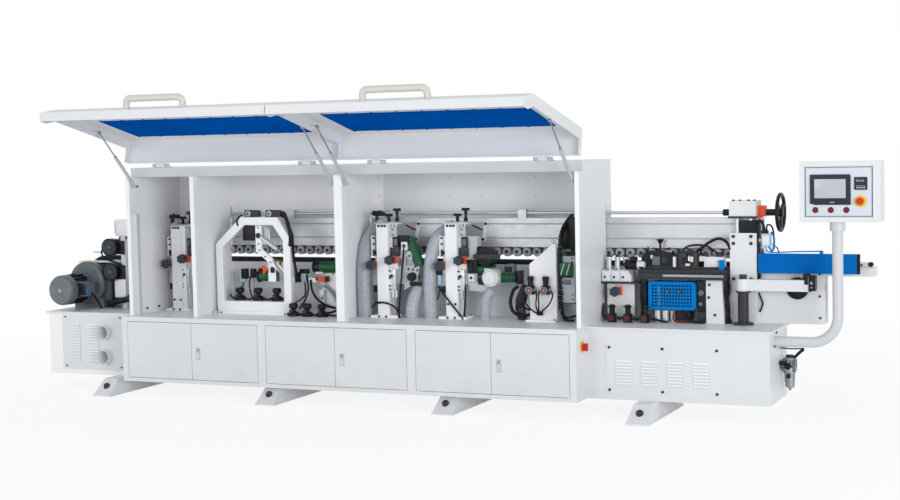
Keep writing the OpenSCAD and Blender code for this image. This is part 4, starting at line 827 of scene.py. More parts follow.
# Columns of the scraping, fine-trim and rough-trim units
def column_fittings(name, x, y, top):
    def at(across, depth, up):
        return (x + across, y + depth, top + up)
    p = Piece(name)
    if name != "rough_column_fittings":
        p.box(at(-34, 34, 50), at(36, 64, 76), "black_plastic", 4)
        p.box(at(-26, 40, 12), at(-8, 58, 50), "black_oxide")
        p.rod(at(-4, 48, 76), at(-4, 48, 84), 9, "black_oxide")
    p.box(at(-8, 30, 12), at(30, 70, 22), "grey_paint")
    p.box(at(-62, 44, -212), at(-22, 54, -78), "unit_white_and_painted_light")
    p.turned(at(68, 50, 13), UP, [(0, 11), (12, 11), (16, 7), (30, 7)], "black_plastic")
    p.turned(at(120, 62, 13), UP, [(0, 13), (20, 13), (24, 8), (60, 8)], "black_plastic")
    for across, depth, up in ((42, 50, 56), (94, 62, 90)):
        p.turned(at(across, depth, up), RIGHT, [(0, 6), (3, 8.5), (12, 7.6), (40, 7.6), (49, 8.5), (52, 6)],
            "black_plastic", 18)
    for k, low in enumerate((-66, -38)):
        p.rod(at(88 + 22 * k, 62, low), at(88 + 22 * k, 62, 12), 7, "bright_steel")
    p.box(at(80, 30, -84), at(128, 40, -20), "grey_paint")
    p.box(at(102, 24, -150), at(144, 31, -84), "black_plastic")
    p.box(at(110, 20, -140), at(136, 25, -96), "motor_grey")
    p.box(at(82, 26, -208), at(146, 41, -152), "slate_plastic")
    p.box(at(80.5, 7, -432), at(93, 39, -284), "unit_white_and_painted_light")
    p.box(at(93, 12, -424), at(124, 39.5, -290), "bright_steel")
    for k in (0, 1):
        p.rod(at(96 + 23 * k, 28, -474), at(96 + 23 * k, 28, -424), 10, "bright_steel")
    p.box(at(-54, 46, -400), at(0.5, 56, -284), "grey_paint")
    p.box(at(-50, 42, -440), at(-8, 60, -398), "black_plastic")
    p.box(at(-44, 38, -330), at(-14, 47, -296), "dull_steel")
    p.rod(at(-34, 30, -186), at(-34, 46, -186), 11, "black_plastic")
    p.rod(at(96, -4, -332), at(96, 12, -332), 9, "black_plastic")
    p.done()
    for across in (19, 42, 63):
        screw(at(across, 0, -12), FRONT, 8.0)
    for across in (14, 64):
        screw(at(across, 0, -506), FRONT, 7.5)
        screw((x + across, y - 14, 544), FRONT, 7.0)
    for up in (-92, -130, -172, -202):
        screw(at(-42, 44, up), FRONT, 7.0)
    for up in (-300, -346, -396, -418):
        screw(at(87, 7, up), FRONT, 6.5)
    for up in (-36, -70):
        screw(at(104, 30, up), FRONT, 5.0)
    for across, depth in ((-36, 6), (130, 6), (-36, 90), (130, 90)):
        screw((x + across, y + depth, 549), UP, 7.0)


for column_name, spot in zip(("scrape", "fine", "rough"), COLUMNS):
    column_fittings(column_name + "_column_fittings", *spot)
cheek = Piece("scrape_column_cheek")
cheek.box((-1397.8, 432, 548), (-1366, 500, 1114), "unit_white_and_painted_light", 2)
cheek.done()


# Fine-trim head: dark slide, square clamp, leads and lever
def fine_head():
    p = Piece("fine_head_fittings")
    p.box((280, 376, 1004), (356, 388, 1062), "black_plastic", 3)
    p.box((301, 370, 966), (343, 388, 1020), "white_paint", 3)
    p.turned((322, 370, 994), FRONT, [(0, 12), (5, 11)], "black_oxide")
    p.prism([(301, 934), (424, 892), (400, 764), (307, 709)], "y", 389, 394, "grey_paint", 2)
    p.box((292, 382, 760), (326, 388, 968), "grey_paint", 3)
    p.box((330, 383, 868), (372, 388, 960), "dull_steel", 2)
    p.turned((371, 373, 797), FRONT, [(0, 24), (6, 27), (16, 27), (20, 20), (26, 20)], "black_plastic")
    p.box((352, 378, 740), (432, 388, 766), "black_plastic", 3)
    for across, up in ((395, 922), (372, 842), (404, 838), (342, 846), (352, 930)):
        p.turned((across, 387 if across < 372 else 392, up), FRONT, [(0, 8), (5, 7)], "black_oxide", 12)
    p.lead([(322, 374, 1000), (312, 368, 900), (300, 364, 780), (290, 356, 660), (284, 348, 560),
        (286, 346, 536)], 6)
    p.lead([(96, 352, 600), (128, 334, 628), (180, 328, 634), (236, 328, 622), (276, 336, 592),
        (288, 346, 552), (290, 350, 536)], 6)
    p.done()


# Rough-trim head: pulley with its bar, dark slide, hoods and leads
def rough_head():
    p = Piece("rough_head_fittings")
    p.turned((868, 399.5, 930), FRONT, [(0, 60), (4, 62), (8, 56), (8, 40), (3, 38), (3, 20), (12, 18)],
        "black_plastic", 36)
    p.box((792, 384, 914), (974, 392, 944), "black_oxide", 3)
    p.box((744, 400, 822), (812, 412, 908), "black_plastic", 3)
    p.box((754, 392, 838), (782, 401, 892), "motor_dark", 2)
    p.box((748, 398, 770), (792, 412, 818), "white_paint", 3)
    p.turned((770, 398, 794), FRONT, [(0, 9), (5, 8)], "black_oxide", 14)
    p.prism([(748, 712), (868, 706), (886, 742), (862, 770), (748, 762)], "y", 404, 440, "grey_paint", 3)
    p.box((818, 396, 752), (898, 412, 794), "black_plastic", 3)
    p.lathe((910, 371.5, 797), FRONT, [(0, 52), (6, 52), (10, 46), (4, 40), (0, 40), (0, 52)], "white_paint",
        32)
    for turn in range(6):
        a = math.radians(60 * turn + 15)
        screw((910 + 46 * math.cos(a), 366, 797 + 46 * math.sin(a)), FRONT, 3.6)
    p.box((986, 410, 826), (1052, 476, 880), "motor_grey", 8)
    p.box((996, 402, 832), (1042, 411, 868), "black_plastic", 3)
    for k in range(5):
        p.box((966 + 18 * k, 408, 766), (972 + 18 * k, 411.5, 828), "motor_green", 0.8)
    p.box((1066, 420, 756), (1098, 470, 840), "motor_dark", 5)
    p.prism([(1062, 596), (1112, 622), (1152, 738), (1108, 760), (1066, 668)], "y", 400, 446, "motor_dark", 5)
    p.prism([(1076, 536), (1128, 536), (1112, 624), (1064, 600)], "y", 408, 438, "black_oxide", 3)
    p.lead([(1086, 404, 746), (1056, 396, 722), (1036, 392, 660), (1046, 388, 602), (1082, 384, 572),
        (1128, 384, 566), (1166, 388, 574)], 11, 10)
    p.lead([(1110, 400, 640), (1140, 392, 610), (1168, 388, 600)], 7)
    p.lead([(560, 364, 740), (600, 356, 690), (660, 352, 620), (712, 356, 560), (724, 360, 536)], 6)
    p.lead([(732, 392, 756), (738, 376, 680), (736, 366, 600), (730, 362, 536)], 7)
    p.box((536, 404, 742), (560, 426, 808), "light_blue_plastic", 3)
    p.box((528, 400, 808), (568, 430, 846), "black_plastic", 3)
    p.lead([(548, 412, 744), (544, 408, 690), (530, 400, 650)], 4)
    p.done()


# Blow-off valve: round top and the plug in its front
def valve_head(p, top, plug):
    p.turned(top, UP, [(0, 26), (4, 29), (24, 29), (30, 25), (32, 0)], "black_plastic", 24)
    p.turned(plug, FRONT, [(0, 15), (12, 15), (16, 12)], "black_oxide", 18)


# Corner-rounding arch: dampers on its top, leads, blow-off valves
def arch_fittings():
    p = Piece("arch_fittings")
    for x in (-812, -652):
        p.box((x - 14, 331, 1181), (x + 96, 334, 1228), "black_oxide", 2)
        p.hollow((x + 14, 331, 1204), FRONT, 8, [(0, 21), (5, 21), (7, 18)], "dull_steel", 28)
        p.turned((x + 14, 331, 1204), FRONT, [(0, 8), (3, 7)], "black_oxide", 16)
    p.lead([(-560, 345, 1208), (-528, 338, 1200), (-504, 336, 1140), (-486, 340, 1060), (-498, 350, 990)],
        13, 10)
    p.lead([(-556, 350, 1190), (-520, 344, 1170), (-492, 338, 1110), (-474, 340, 1060), (-478, 350, 1000),
        (-484, 372, 900), (-480, 392, 812)], 9, 10)
    p.lead([(-850, 342, 1196), (-876, 338, 1180), (-890, 336, 1150), (-884, 342, 1120)], 6)
    for x in (-932, -789, -646):
        valve_head(p, (x, 416, 672), (x, 392, 651))
    p.lead([(-978, 416, 631), (-992, 410, 640), (-1003, 402, 656)], 6)
    p.lead([(-886, 414, 631), (-860, 402, 626), (-836, 414, 631)], 6)
    p.lead([(-743, 414, 631), (-716, 402, 626), (-692, 414, 631)], 6)
    p.rod((-934, 470, 535), (-934, 470, 740), 5, "dull_steel")
    p.box((-952, 452, 736), (-918, 486, 806), "light_blue_plastic", 3)
    p.box((-940, 450, 758), (-898, 484, 826), "black_plastic", 3)
    p.rod((-854, 470, 535), (-854, 470, 770), 5, "dull_steel")
    p.box((-872, 454, 764), (-838, 486, 826), "black_plastic", 4)
    p.lead([(-930, 456, 740), (-922, 444, 720), (-932, 424, 703)], 4)
    p.lead([(-880, 470, 772), (-878, 452, 720), (-860, 434, 670), (-836, 418, 636)], 5)
    p.done()
    for x in (-1048, -1020, -530, -508):
        screw((x, 316, 544), FRONT, 5.5)
    for x in (-1056, -500):
        screw((x, 326, 553), UP, 7.0)


# Corner-rounding arm: cylinders with their rods, counter, brass sleeve and tube
def arm_fittings():
    p = Piece("swing_arm_fittings", "corner_arm")
    p.box((-884, 378, 1120), (-822, 412, 1140), "guard_blue", 3)
    p.box((-862, 368, 1030), (-780, 371, 1114), "motor_dark", 2)
    p.rod((-752, 381, 1056), (-612, 381, 964), 15, "bright_steel")
    p.rod((-620, 381, 969), (-586, 381, 947), 9, "dull_steel")
    p.turned((-749, 369, 1056), FRONT, [(-4, 18), (4, 18), (6, 0)], "black_oxide", 18)
    p.rod((-704, 402, 990), (-704, 402, 1112), 17, "grey_paint")
    p.rod((-684, 402, 980), (-684, 402, 1100), 6, "bright_steel")
    p.box((-728, 386, 1000), (-676, 394, 1016), "white_paint", 2)
    p.box((-734, 352, 812), (-690, 371, 852), "orange_plastic", 3, ("Y", 35))
    p.turned((-728, 352, 826), FRONT, [(0, 16), (10, 16), (14, 12)], "black_plastic", 20)
    p.rod((-660, 390, 876), (-598, 390, 876), 19, "brass")
    p.box((-662, 386, 846), (-596, 396, 856), "yellow_plastic", 2)
    p.box((-668, 378, 808), (-640, 388, 846), "black_plastic", 3)
    p.tube([(-640, 372, 900), (-604, 366, 842), (-570, 366, 800), (-544, 370, 772)], 8, "dull_steel")
    p.done()
    for x, z in ((-749, 1108), (-749, 1000), (-742, 958), (-700, 916), (-660, 880)):
        screw((x, 370, z), FRONT, 5.0, "corner_arm")


# Lower head of the corner-rounding unit, with the blow-off valves in front of it
def lower_head():
    p = Piece("lower_head_fittings")
    p.box((-338, 416, 754), (-282, 439, 784), "orange_plastic", 3)
    p.turned((-338, 428, 769), LEFT, [(0, 13), (10, 13), (14, 10)], "black_plastic", 18)
    p.box((-282, 420, 750), (-262, 439, 788), "black_plastic", 2)
    p.box((-356, 422, 800), (-300, 453, 816), "white_paint", 2)
    p.box((-330, 424, 576), (-296, 452.5, 694), "white_paint", 3)
    p.turned((-313, 424, 650), FRONT, [(0, 17), (4, 17), (6, 9), (12, 9)], "dull_steel", 20)
    p.tube([(-300, 430, 720), (-250, 420, 690), (-200, 414, 630), (-170, 416, 580)], 9, "dull_steel", 10)
    p.lead([(-330, 430, 560), (-300, 400, 556), (-240, 380, 552), (-190, 390, 566)], 7)
    p.rod((-462, 470, 535), (-462, 470, 745), 5, "dull_steel")
    p.box((-480, 452, 742), (-444, 486, 812), "light_blue_plastic", 3)
    p.box((-492, 450, 800), (-430, 488, 828), "black_plastic", 3)
    p.box((-528, 452, 740), (-494, 484, 806), "black_plastic", 4)
    p.box((-496, 462, 764), (-478, 476, 780), "dull_steel", 2)
    p.lead([(-454, 456, 744), (-440, 440, 680), (-446, 400, 640), (-452, 310, 618)], 5)
    p.lead([(-436, 452, 790), (-420, 440, 700), (-436, 420, 630), (-470, 400, 570)], 6)
    p.lead([(-404, 444, 760), (-388, 434, 690), (-350, 424, 640), (-280, 418, 596), (-206, 412, 580)], 8)
    p.box((-420, 446, 742), (-360, 456, 772), "unit_white_and_painted_light", 3)
    for x in (-452, -350, -240):
        valve_head(p, (x, 291, 588), (x, 267, 568))
    p.lead([(-406, 291, 548), (-401, 281, 544), (-396, 291, 548)], 6)
    p.lead([(-304, 291, 548), (-295, 281, 544), (-286, 291, 548)], 6)
    p.lead([(-194, 291, 548), (-160, 296, 544), (-120, 310, 541), (-60, 340, 541)], 6)
    p.done()
    for x, z in ((-190, 590), (-214, 616), (-322, 600), (-240, 800), (-206, 760)):
        screw((x, 452, z), FRONT, 5.5)


# End-trim unit: drag chain on the bracket's fold
LINK_PITCH = 22
LINK_SIZE = 20.0


def drag_chain():
    path = smooth_path([(1366, 393, 590), (1366, 393, 760), (1366, 393, 940), (1368, 400, 1030),
        (1374, 436, 1100), (1386, 500, 1150), (1396, 560, 1180)], 12)
    spots = []
    travelled = 0.0
    for a, b in zip(path, path[1:]):
        travelled += (b - a).length
        if travelled >= LINK_PITCH:
            spots.append((b, b - a, LINK_SIZE))
            travelled = 0.0
    scatter("drag_chain", "chain_link", spots, "black_plastic")


# End-trim unit: cover, dials and leads
def end_trim():
    p = Piece("end_trim_fittings")
    p.prism([(1353, 974), (1446, 974), (1446, 1172), (1426, 1172), (1393, 1150), (1353, 1092)], "y",
        470, 500, "black_plastic", 3)
    p.prism([(1338, 990), (1354, 1004), (1330, 1046), (1310, 1036)], "y", 372, 380, "dull_steel", 2)
    p.prism([(1352.5, 560), (1468, 560), (1468, 600), (1440, 640), (1352.5, 640)], "y",
        470, 560, "grey_paint", 5)
    p.box((1352.5, 480, 536), (1440, 560, 562), "grey_paint", 3)
    for x in (1192, 1290):
        p.lathe((x, 307.5, 731), FRONT, [(0, 21), (0, 23), (5, 24), (8, 21), (8, 18), (3, 17), (3, 0),
            (0, 0)], "dull_steel", 30)
        p.turned((x, 304.5, 731), FRONT, [(0, 16.5), (1.5, 16)], "motor_dark", 26)
        p.turned((x, 303, 731), FRONT, [(0, 11), (1.5, 10)], "copper_cap", 22)
        p.box((x - 34, 325, 722), (x - 20, 341, 742), "dull_steel", 3)
        p.box((x + 20, 325, 722), (x + 34, 341, 742), "dull_steel", 3)
        p.lathe((x, 339.5, 790), UP, [(0, 17), (0, 19), (8, 20), (22, 20), (26, 16), (26, 0), (0, 0)],
            "black_plastic", 20)
    routes = [
        [(1158, 333, 731), (1140, 326, 700), (1164, 320, 650), (1210, 322, 604), (1240, 330, 590)],
        [(1226, 333, 731), (1236, 322, 700), (1232, 318, 640), (1242, 328, 594)],
        [(1256, 333, 731), (1248, 322, 700), (1250, 318, 640), (1246, 328, 594)],
        [(1324, 333, 731), (1340, 322, 700), (1320, 318, 650), (1276, 322, 608), (1250, 330, 592)],
    ]
    for route in routes:
        p.lead(route, 5)
    p.box((1226, 340, 574), (1264, 361, 600), "black_plastic", 4)
    p.lead([(1366, 396, 600), (1380, 390, 572), (1420, 380, 560), (1480, 380, 580), (1530, 400, 600),
        (1566, 430, 620)], 7)
    p.lead([(1372, 398, 640), (1384, 386, 580), (1400, 372, 548), (1460, 366, 546)], 8)
    p.done()
    for x in (1164, 1340):
        screw((x, 345, 547), UP, 6.5)


# End-trim carriage: motor ribs, plates, saw guard and lead
def saw_carriage():
    q = Piece("saw_carriage_fittings", "end_trim_carriage")
    for k in range(7):
        q.hollow((1409, 506, 846 + 13 * k), UP, 38.5, [(0, 41.5), (4, 41.5)], "motor_green", 30)
    q.box((1370, 398, 742), (1448, 405, 812), "grey_paint", 3)
    q.box((1384, 394, 762), (1434, 399, 792), "motor_grey", 2)
    q.box((1366, 372, 818), (1448, 405, 897), "motor_green", 14)
    q.box((1372, 376, 806), (1444, 404, 819), "motor_dark", 3)
    for x in (1388, 1424):
        q.box((x - 2, 370.5, 820), (x + 2, 372.6, 895), "unit_white_and_painted_light", 0.6, ("Y", 18))
    q.lead([(1384, 468, 930), (1372, 460, 900), (1368, 458, 860)], 6)
    q.done()
    for z in (670, 700, 900, 922):
        for x in (1376, 1442):
            screw((x, 404 if z < 742 else 398, z), FRONT, 5.0, "end_trim_carriage")


# Glue end: clamps that hold the tape
def tape_clamps():
    p = Piece("tape_clamp_fittings")
    for k in range(3):
        x = 1608 + 58 * k
        p.prism([(x, 782), (x + 52, 782), (x + 52, 826), (x + 40, 843), (x, 843)], "y",
            472, 481, "white_paint", 3)
        p.rod((x + 18, 466, 806), (x + 18, 473, 806), 7, "black_oxide")
        p.box((x + 24, 474, 846), (x + 36, 500, 856), "dull_steel", 2)
    for k in range(3):
        p.turned((1638 + 54 * k, 520, 924), UP, [(0, 12), (14, 12), (18, 8)], "black_oxide", 18)
    p.turned((1746, 518, 879), LEFT, [(0, 22), (4, 22), (10, 14), (14, 14)], "black_oxide", 24)
    p.turned((1860, 518, 879), RIGHT, [(0, 21), (5, 19), (9, 10)], "cream_plastic", 24)
    p.box((1780, 478, 905), (1822, 520, 930), "black_plastic", 4)
    p.done()


# Glue end: tape feed on its table
def feed_table():
    p = Piece("feed_table_fittings")
    p.box((1990, 467.5, 812), (2362, 470.5, 826), "dull_steel", 1.2)
    p.box((2046, 500, 869), (2060, 530, 930), "white_paint", 2)
    p.box((1852, 524, 880), (1900, 535, 948), "black_plastic", 4)
    p.box((1912, 518, 876), (1960, 535, 930), "motor_grey", 4)
    p.turned((1985, 535, 906), FRONT, [(0, 24), (6, 24), (10, 18), (16, 18)], "black_oxide", 26)
    p.turned((1905, 534, 928), FRONT, [(0, 12), (8, 12)], "bright_steel", 18)
    p.rod((1878, 550, 958), (1878, 550, 988), 6, "black_oxide")
    p.rod((2012, 550, 930), (2012, 550, 984), 7, "black_oxide")
    p.box((1990, 536, 955), (2030, 566, 966), "dull_steel", 2)
    p.turned((2154, 530, 899), UP, [(0, 12), (4, 14), (28, 14), (32, 11)], "cream_plastic", 22)
    p.box((2198, 534, 906), (2234, 552, 932), "cream_plastic", 4)
    p.box((2068, 516, 882), (2112, 528, 930), "motor_dark", 4)
    p.box((2118, 516, 874), (2146, 530, 890), "bright_steel", 2)
    p.box((2322, 512, 850), (2354, 537, 912), "guard_blue", 4)
    p.box((2240, 531, 880), (2312, 537, 922), "white_paint", 2)
    for x in (2228, 2318):
        p.turned((x, 566, 928), UP, [(0, 18), (18, 18), (22, 14), (30, 6)], "black_oxide", 22)
    p.lead([(2180, 548, 960), (2214, 544, 984), (2262, 540, 1018), (2318, 538, 1040), (2362, 542, 1020),
        (2386, 552, 972)], 9, 10)
    p.lead([(2092, 550, 966), (2130, 546, 992), (2190, 544, 1000), (2250, 542, 990), (2300, 548, 956)], 6)
    p.done()
    for k in range(9):
        screw((1866 + 58 * k, 470, 806), FRONT, 5.0)
    for k in range(5):
        screw((2100 + 60 * k, 490, 842), FRONT, 5.0)


# Glue end: glue pot with its guard and leads
def glue_pot():
    p = Piece("glue_pot_fittings")
    for x in (2016, 2086):
        p.turned((x, 480, 724), FRONT, [(0, 13), (3, 13), (5, 9), (9, 8)], "black_oxide", 18)
        p.turned((x, 471, 724), FRONT, [(0, 5), (2, 4)], "brass", 12)
    for k in range(3):
        p.turned((1939 + 50 * k, 530, 605), UP, [(0, 17), (6, 17), (8, 0)], "bright_steel", 20)
        p.box((1929 + 50 * k, 504, 560), (1949 + 50 * k, 511, 600), "white_paint", 2)
    p.box((2191, 500, 600), (2246, 570, 790), "motor_dark", 5)
    p.turned((2216, 500, 716), FRONT, [(0, 18), (6, 18), (10, 10), (14, 10)], "motor_grey", 22)
    p.turned((2214, 500, 650), FRONT, [(0, 12), (8, 12)], "motor_grey", 20)
    p.box((2192, 510, 535), (2244, 562, 602), "black_oxide", 4)
    p.tube([(2060, 494, 612), (2050, 484, 580), (2054, 480, 552), (2080, 478, 545), (2140, 478, 545),
        (2180, 486, 556)], 6, "dark_red")
    p.lead([(2114, 494, 612), (2120, 484, 580), (2150, 476, 552), (2190, 470, 543), (2240, 468, 542)], 7)
    p.lead([(1872, 498, 778), (1876, 490, 700), (1870, 488, 610), (1880, 482, 541)], 9)
    p.lead([(1852, 500, 778), (1846, 492, 700), (1854, 490, 620), (1846, 486, 541)], 8)
    p.lead([(2372, 512, 536), (2378, 508, 620), (2366, 506, 720), (2374, 508, 800), (2370, 520, 862)], 12, 10)
    p.lead([(2392, 524, 536), (2364, 516, 640), (2386, 514, 740), (2376, 520, 830)], 7)
    p.done()
    scatter("guard_rivets", "hub_bolt", [((1963, 480, 640 + 16 * k), FRONT, 3.2) for k in range(8)], "brass")
    for x, z in ((2268, 766), (2264, 690), (2300, 586)):
        screw((x, 500, z), FRONT, 8.0)


# Glue end: air regulators on the cabinet top
def regulators():
    p = Piece("regulator_fittings")
    for x in (1678, 1778, 1886):
        p.lathe((x, 414, 561), FRONT, [(0, 20), (0, 23), (6, 24), (9, 21), (9, 18), (4, 17), (4, 0), (0, 0)],
            "black_oxide", 30)
        p.turned((x, 410, 561), FRONT, [(0, 16.5), (1.5, 16)], "dark_red", 26)
        p.turned((x, 446, 620), UP, [(0, 15), (6, 18), (18, 18), (22, 14)], "black_plastic", 22)
        p.box((x - 40, 434, 552), (x - 21, 452, 572), "black_oxide", 3)
        p.box((x + 21, 434, 552), (x + 40, 452, 572), "black_oxide", 3)
        p.box((x - 26, 432, 626), (x + 26, 446, 634), "black_plastic", 3)
    p.lead([(1718, 443, 562), (1728, 436, 556), (1738, 443, 562)], 7)
    p.lead([(1818, 443, 562), (1832, 434, 552), (1846, 443, 562)], 7)
    p.lead([(1926, 443, 562), (1950, 446, 556), (1986, 460, 545), (2020, 470, 542)], 7)
    p.lead([(1638, 443, 562), (1622, 450, 566), (1610, 470, 590), (1606, 500, 640)], 6)
    p.done()


# Lift columns and heads: bolts, skirts and leads
def lift_fittings():
    bolts = []
    for lift in LIFTS:
        for x in (22, 127):
            for z in (1052, 1011, 800):
                bolts.append(((lift + x, 543, z), FRONT, 10.0))
    scatter("column_bolts", "hub_bolt", bolts, "black_oxide")
    tops = [((lift + x, 560, 1262), UP, 9.0) for lift in LIFTS for x in (20, 60, 110, 146)]
    scatter("head_bolts", "hub_bolt", tops, "black_oxide", "beam")
    p = Piece("lift_skirts")
    for lift in LIFTS:
        p.box((lift + 58, 545, 1072.3), (lift + 158, 588, 1146), "black_plastic", 4)
    p.box((2543.3, 548, 800), (2558, 586, 1146), "black_plastic", 3)
    for k in range(14):
        p.box((2557.5, 550, 806 + 24 * k), (2560.5, 584, 824 + 24 * k), "motor_dark", 1.2)
    p.box((2558, 530, 1020), (2590, 548, 1040), "dull_steel", 2)
    p.box((2580, 506, 992), (2632, 548, 1072), "light_blue_plastic", 5)
    p.box((2586, 502, 1004), (2626, 507, 1058), "white_paint", 2)
    p.box((2576, 512, 1071), (2616, 546, 1090), "black_plastic", 3)
    p.lead([(2596, 526, 1088), (2588, 520, 1126), (2566, 524, 1150), (2552, 548, 1132)], 7)
    p.lead([(2606, 530, 1088), (2612, 524, 1122), (2640, 522, 1110), (2650, 524, 1050), (2644, 526, 980),
        (2622, 530, 960)], 5)
    p.tube([(2622, 510, 996), (2640, 506, 972), (2652, 512, 990), (2650, 520, 1052), (2634, 528, 1080)],
        6, "guard_blue")
    p.tube([(2606, 510, 994), (2612, 506, 970), (2634, 516, 962), (2700, 530, 962), (2800, 536, 966),
        (2924, 538, 968)], 4, "guard_blue")
    p.lead([(2642, 520, 1010), (2668, 530, 985), (2676, 538, 955)], 3.5)
    p.box((2912, 530, 953), (2932, 546, 972), "guard_blue", 2)
    p.done()


# Cross shaft: couplings
def shaft_couplings():
    q = Piece("shaft_coupling", "handwheel")
    q.hollow((2332, 600, 1192), RIGHT, 10.2, [(0, 19), (3, 20), (38, 20), (41, 19)], "black_plastic", 28)
    q.hollow((2592, 600, 1192), RIGHT, 10.2, [(0, 17), (4, 20), (50, 20), (56, 26), (62, 26)],
        "black_plastic", 28)
    q.hollow((-8, 600, 1192), RIGHT, 10.2, [(0, 15), (4, 17), (66, 17), (70, 15)], "black_plastic", 24)
    q.done()


# Filter-regulator: banded body, drain bowl, side knob and hose along the post
def filter_fittings():
    p = Piece("filter_fittings")
    p.turned((2748, 470, 197), UP, [(0, 22), (8, 29), (60, 31), (66, 36), (150, 36), (158, 28), (160, 0)],
        "dull_steel", 32)
    p.hollow((2748, 470, 280), UP, 36, [(0, 39), (16, 39)], "grey_paint", 32)
    for turn in range(10):
        a = math.radians(36 * turn)
        x = 35 * math.cos(a)
        y = 35 * math.sin(a)
        p.box((2745 + x, 467 + y, 304), (2751 + x, 473 + y, 344), "motor_dark", 1)
    p.rod((2690, 430, 322), (2730, 440, 322), 12, "black_plastic")
    p.turned((2748, 436, 246), FRONT, [(0, 14), (6, 14), (8, 11)], "motor_dark", 20)
    p.lead([(2774, 470, 350), (2791, 470, 368), (2812, 471, 388), (2830, 472, 402)], 9, 10)
    p.lead([(2832, 471, 407), (2790, 469, 404), (2740, 467, 404), (2697, 465, 408)], 4)
    p.lead([(2545, 582, 716), (2556, 578, 690), (2568, 578, 655), (2562, 580, 630), (2550, 582, 601)], 5)
    p.done()


# Infeed: bearing cap, rail end stop and tape guide
def infeed():
    p = Piece("infeed_fittings")
    p.turned((2773, 576, 746), FRONT, [(0, 62), (4, 60), (8, 40), (12, 36)], "black_plastic", 40)
    p.box((3120, 606, 871), (3206, 644, 900), "white_paint", 3)
    p.turned((3193, 600, 890), FRONT, [(-6, 14), (4, 14), (6, 11)], "black_plastic", 22)
    p.turned((3140, 604, 884), FRONT, [(-2, 6), (4, 6)], "black_oxide", 12)
    p.done()
    q = Piece("tape_guide_fittings", "tape_arm")
    q.box((2828, 462, 806), (2866, 500, 842), "black_plastic", 4)
    q.box((2838, 456, 780), (2862, 463, 812), "motor_dark", 2)
    q.turned((2881, 452, 790), FRONT, [(0, 9), (6, 8)], "dull_steel", 16)
    q.turned((2881, 452, 764), FRONT, [(0, 6), (4, 5)], "dull_steel", 14)
    q.done()
    for x, z in ((2903, 831), (2902, 700), (2904, 573)):
        screw((x, 590, z), FRONT, 7.0)


# Control panel: face plate, screen, controller and button rings; plate of the main switch
def control_panel():
    p = Piece("panel_fittings")
    p.prism([(2894, 1190), (3252, 1190), (3252, 1455), (2894, 1455)], "y", 248.4, 250.2, "panel_face", 0.6)
    for left, low, right, high in ((2888, 1184, 3258, 1187), (2888, 1458, 3258, 1461),
            (2888, 1184, 2891, 1461), (3255, 1184, 3258, 1461)):
        p.box((left, 248.8, low), (right, 250.2, high), "bezel_dark", 0.3)
    p.prism([(2916, 1255), (3139, 1255), (3139, 1420), (2916, 1420)], "y", 240, 244.4, "bezel_dark", 1.6)
    p.prism([(2941, 1288), (3114, 1288), (3114, 1394), (2941, 1394)], "y", 239.2, 240.4, "screen_glass", 0.3)
    p.box((3026, 239.4, 1262), (3052, 240.4, 1266), "grey_paint", 0.2)
    p.prism([(3162, 1335), (3229, 1335), (3229, 1402), (3162, 1402)], "y", 240, 244.4, "bezel_dark", 1.6)
    p.box((3170, 239.2, 1366), (3221, 240.4, 1394), "screen_dark", 0.4)
    for k in range(4):
        p.box((3174 + 11 * k, 238.8, 1378), (3181 + 11 * k, 239.6, 1389), "segment_grey", 0.2)
        p.box((3172 + 13 * k, 239, 1342), (3181 + 13 * k, 240.4, 1349), "grey_paint", 0.5)
    p.box((3172, 239, 1354), (3219, 240.4, 1357), "segment_grey", 0.2)
    p.hollow((3193, 250.2, 1270), FRONT, 12.5, [(0, 33), (4, 33), (7, 28)], "yellow_plastic", 40)
    for x in (2945, 3030, 3116):
        p.hollow((x, 250.2, 1221), FRONT, 11.3, [(0, 17), (4, 17), (6, 14)], "black_oxide", 30)
    p.done()
    q = Piece("main_switch_plate")
    q.prism([(72, 390), (136, 390), (136, 454), (72, 454)], "x", 1600.1, 1603, "yellow_plastic", 1)
    q.done()


# Drive end: fan covers, terminal box lid, bell housing, junction box and leads
BUFFING_MOTORS = (794, 966)


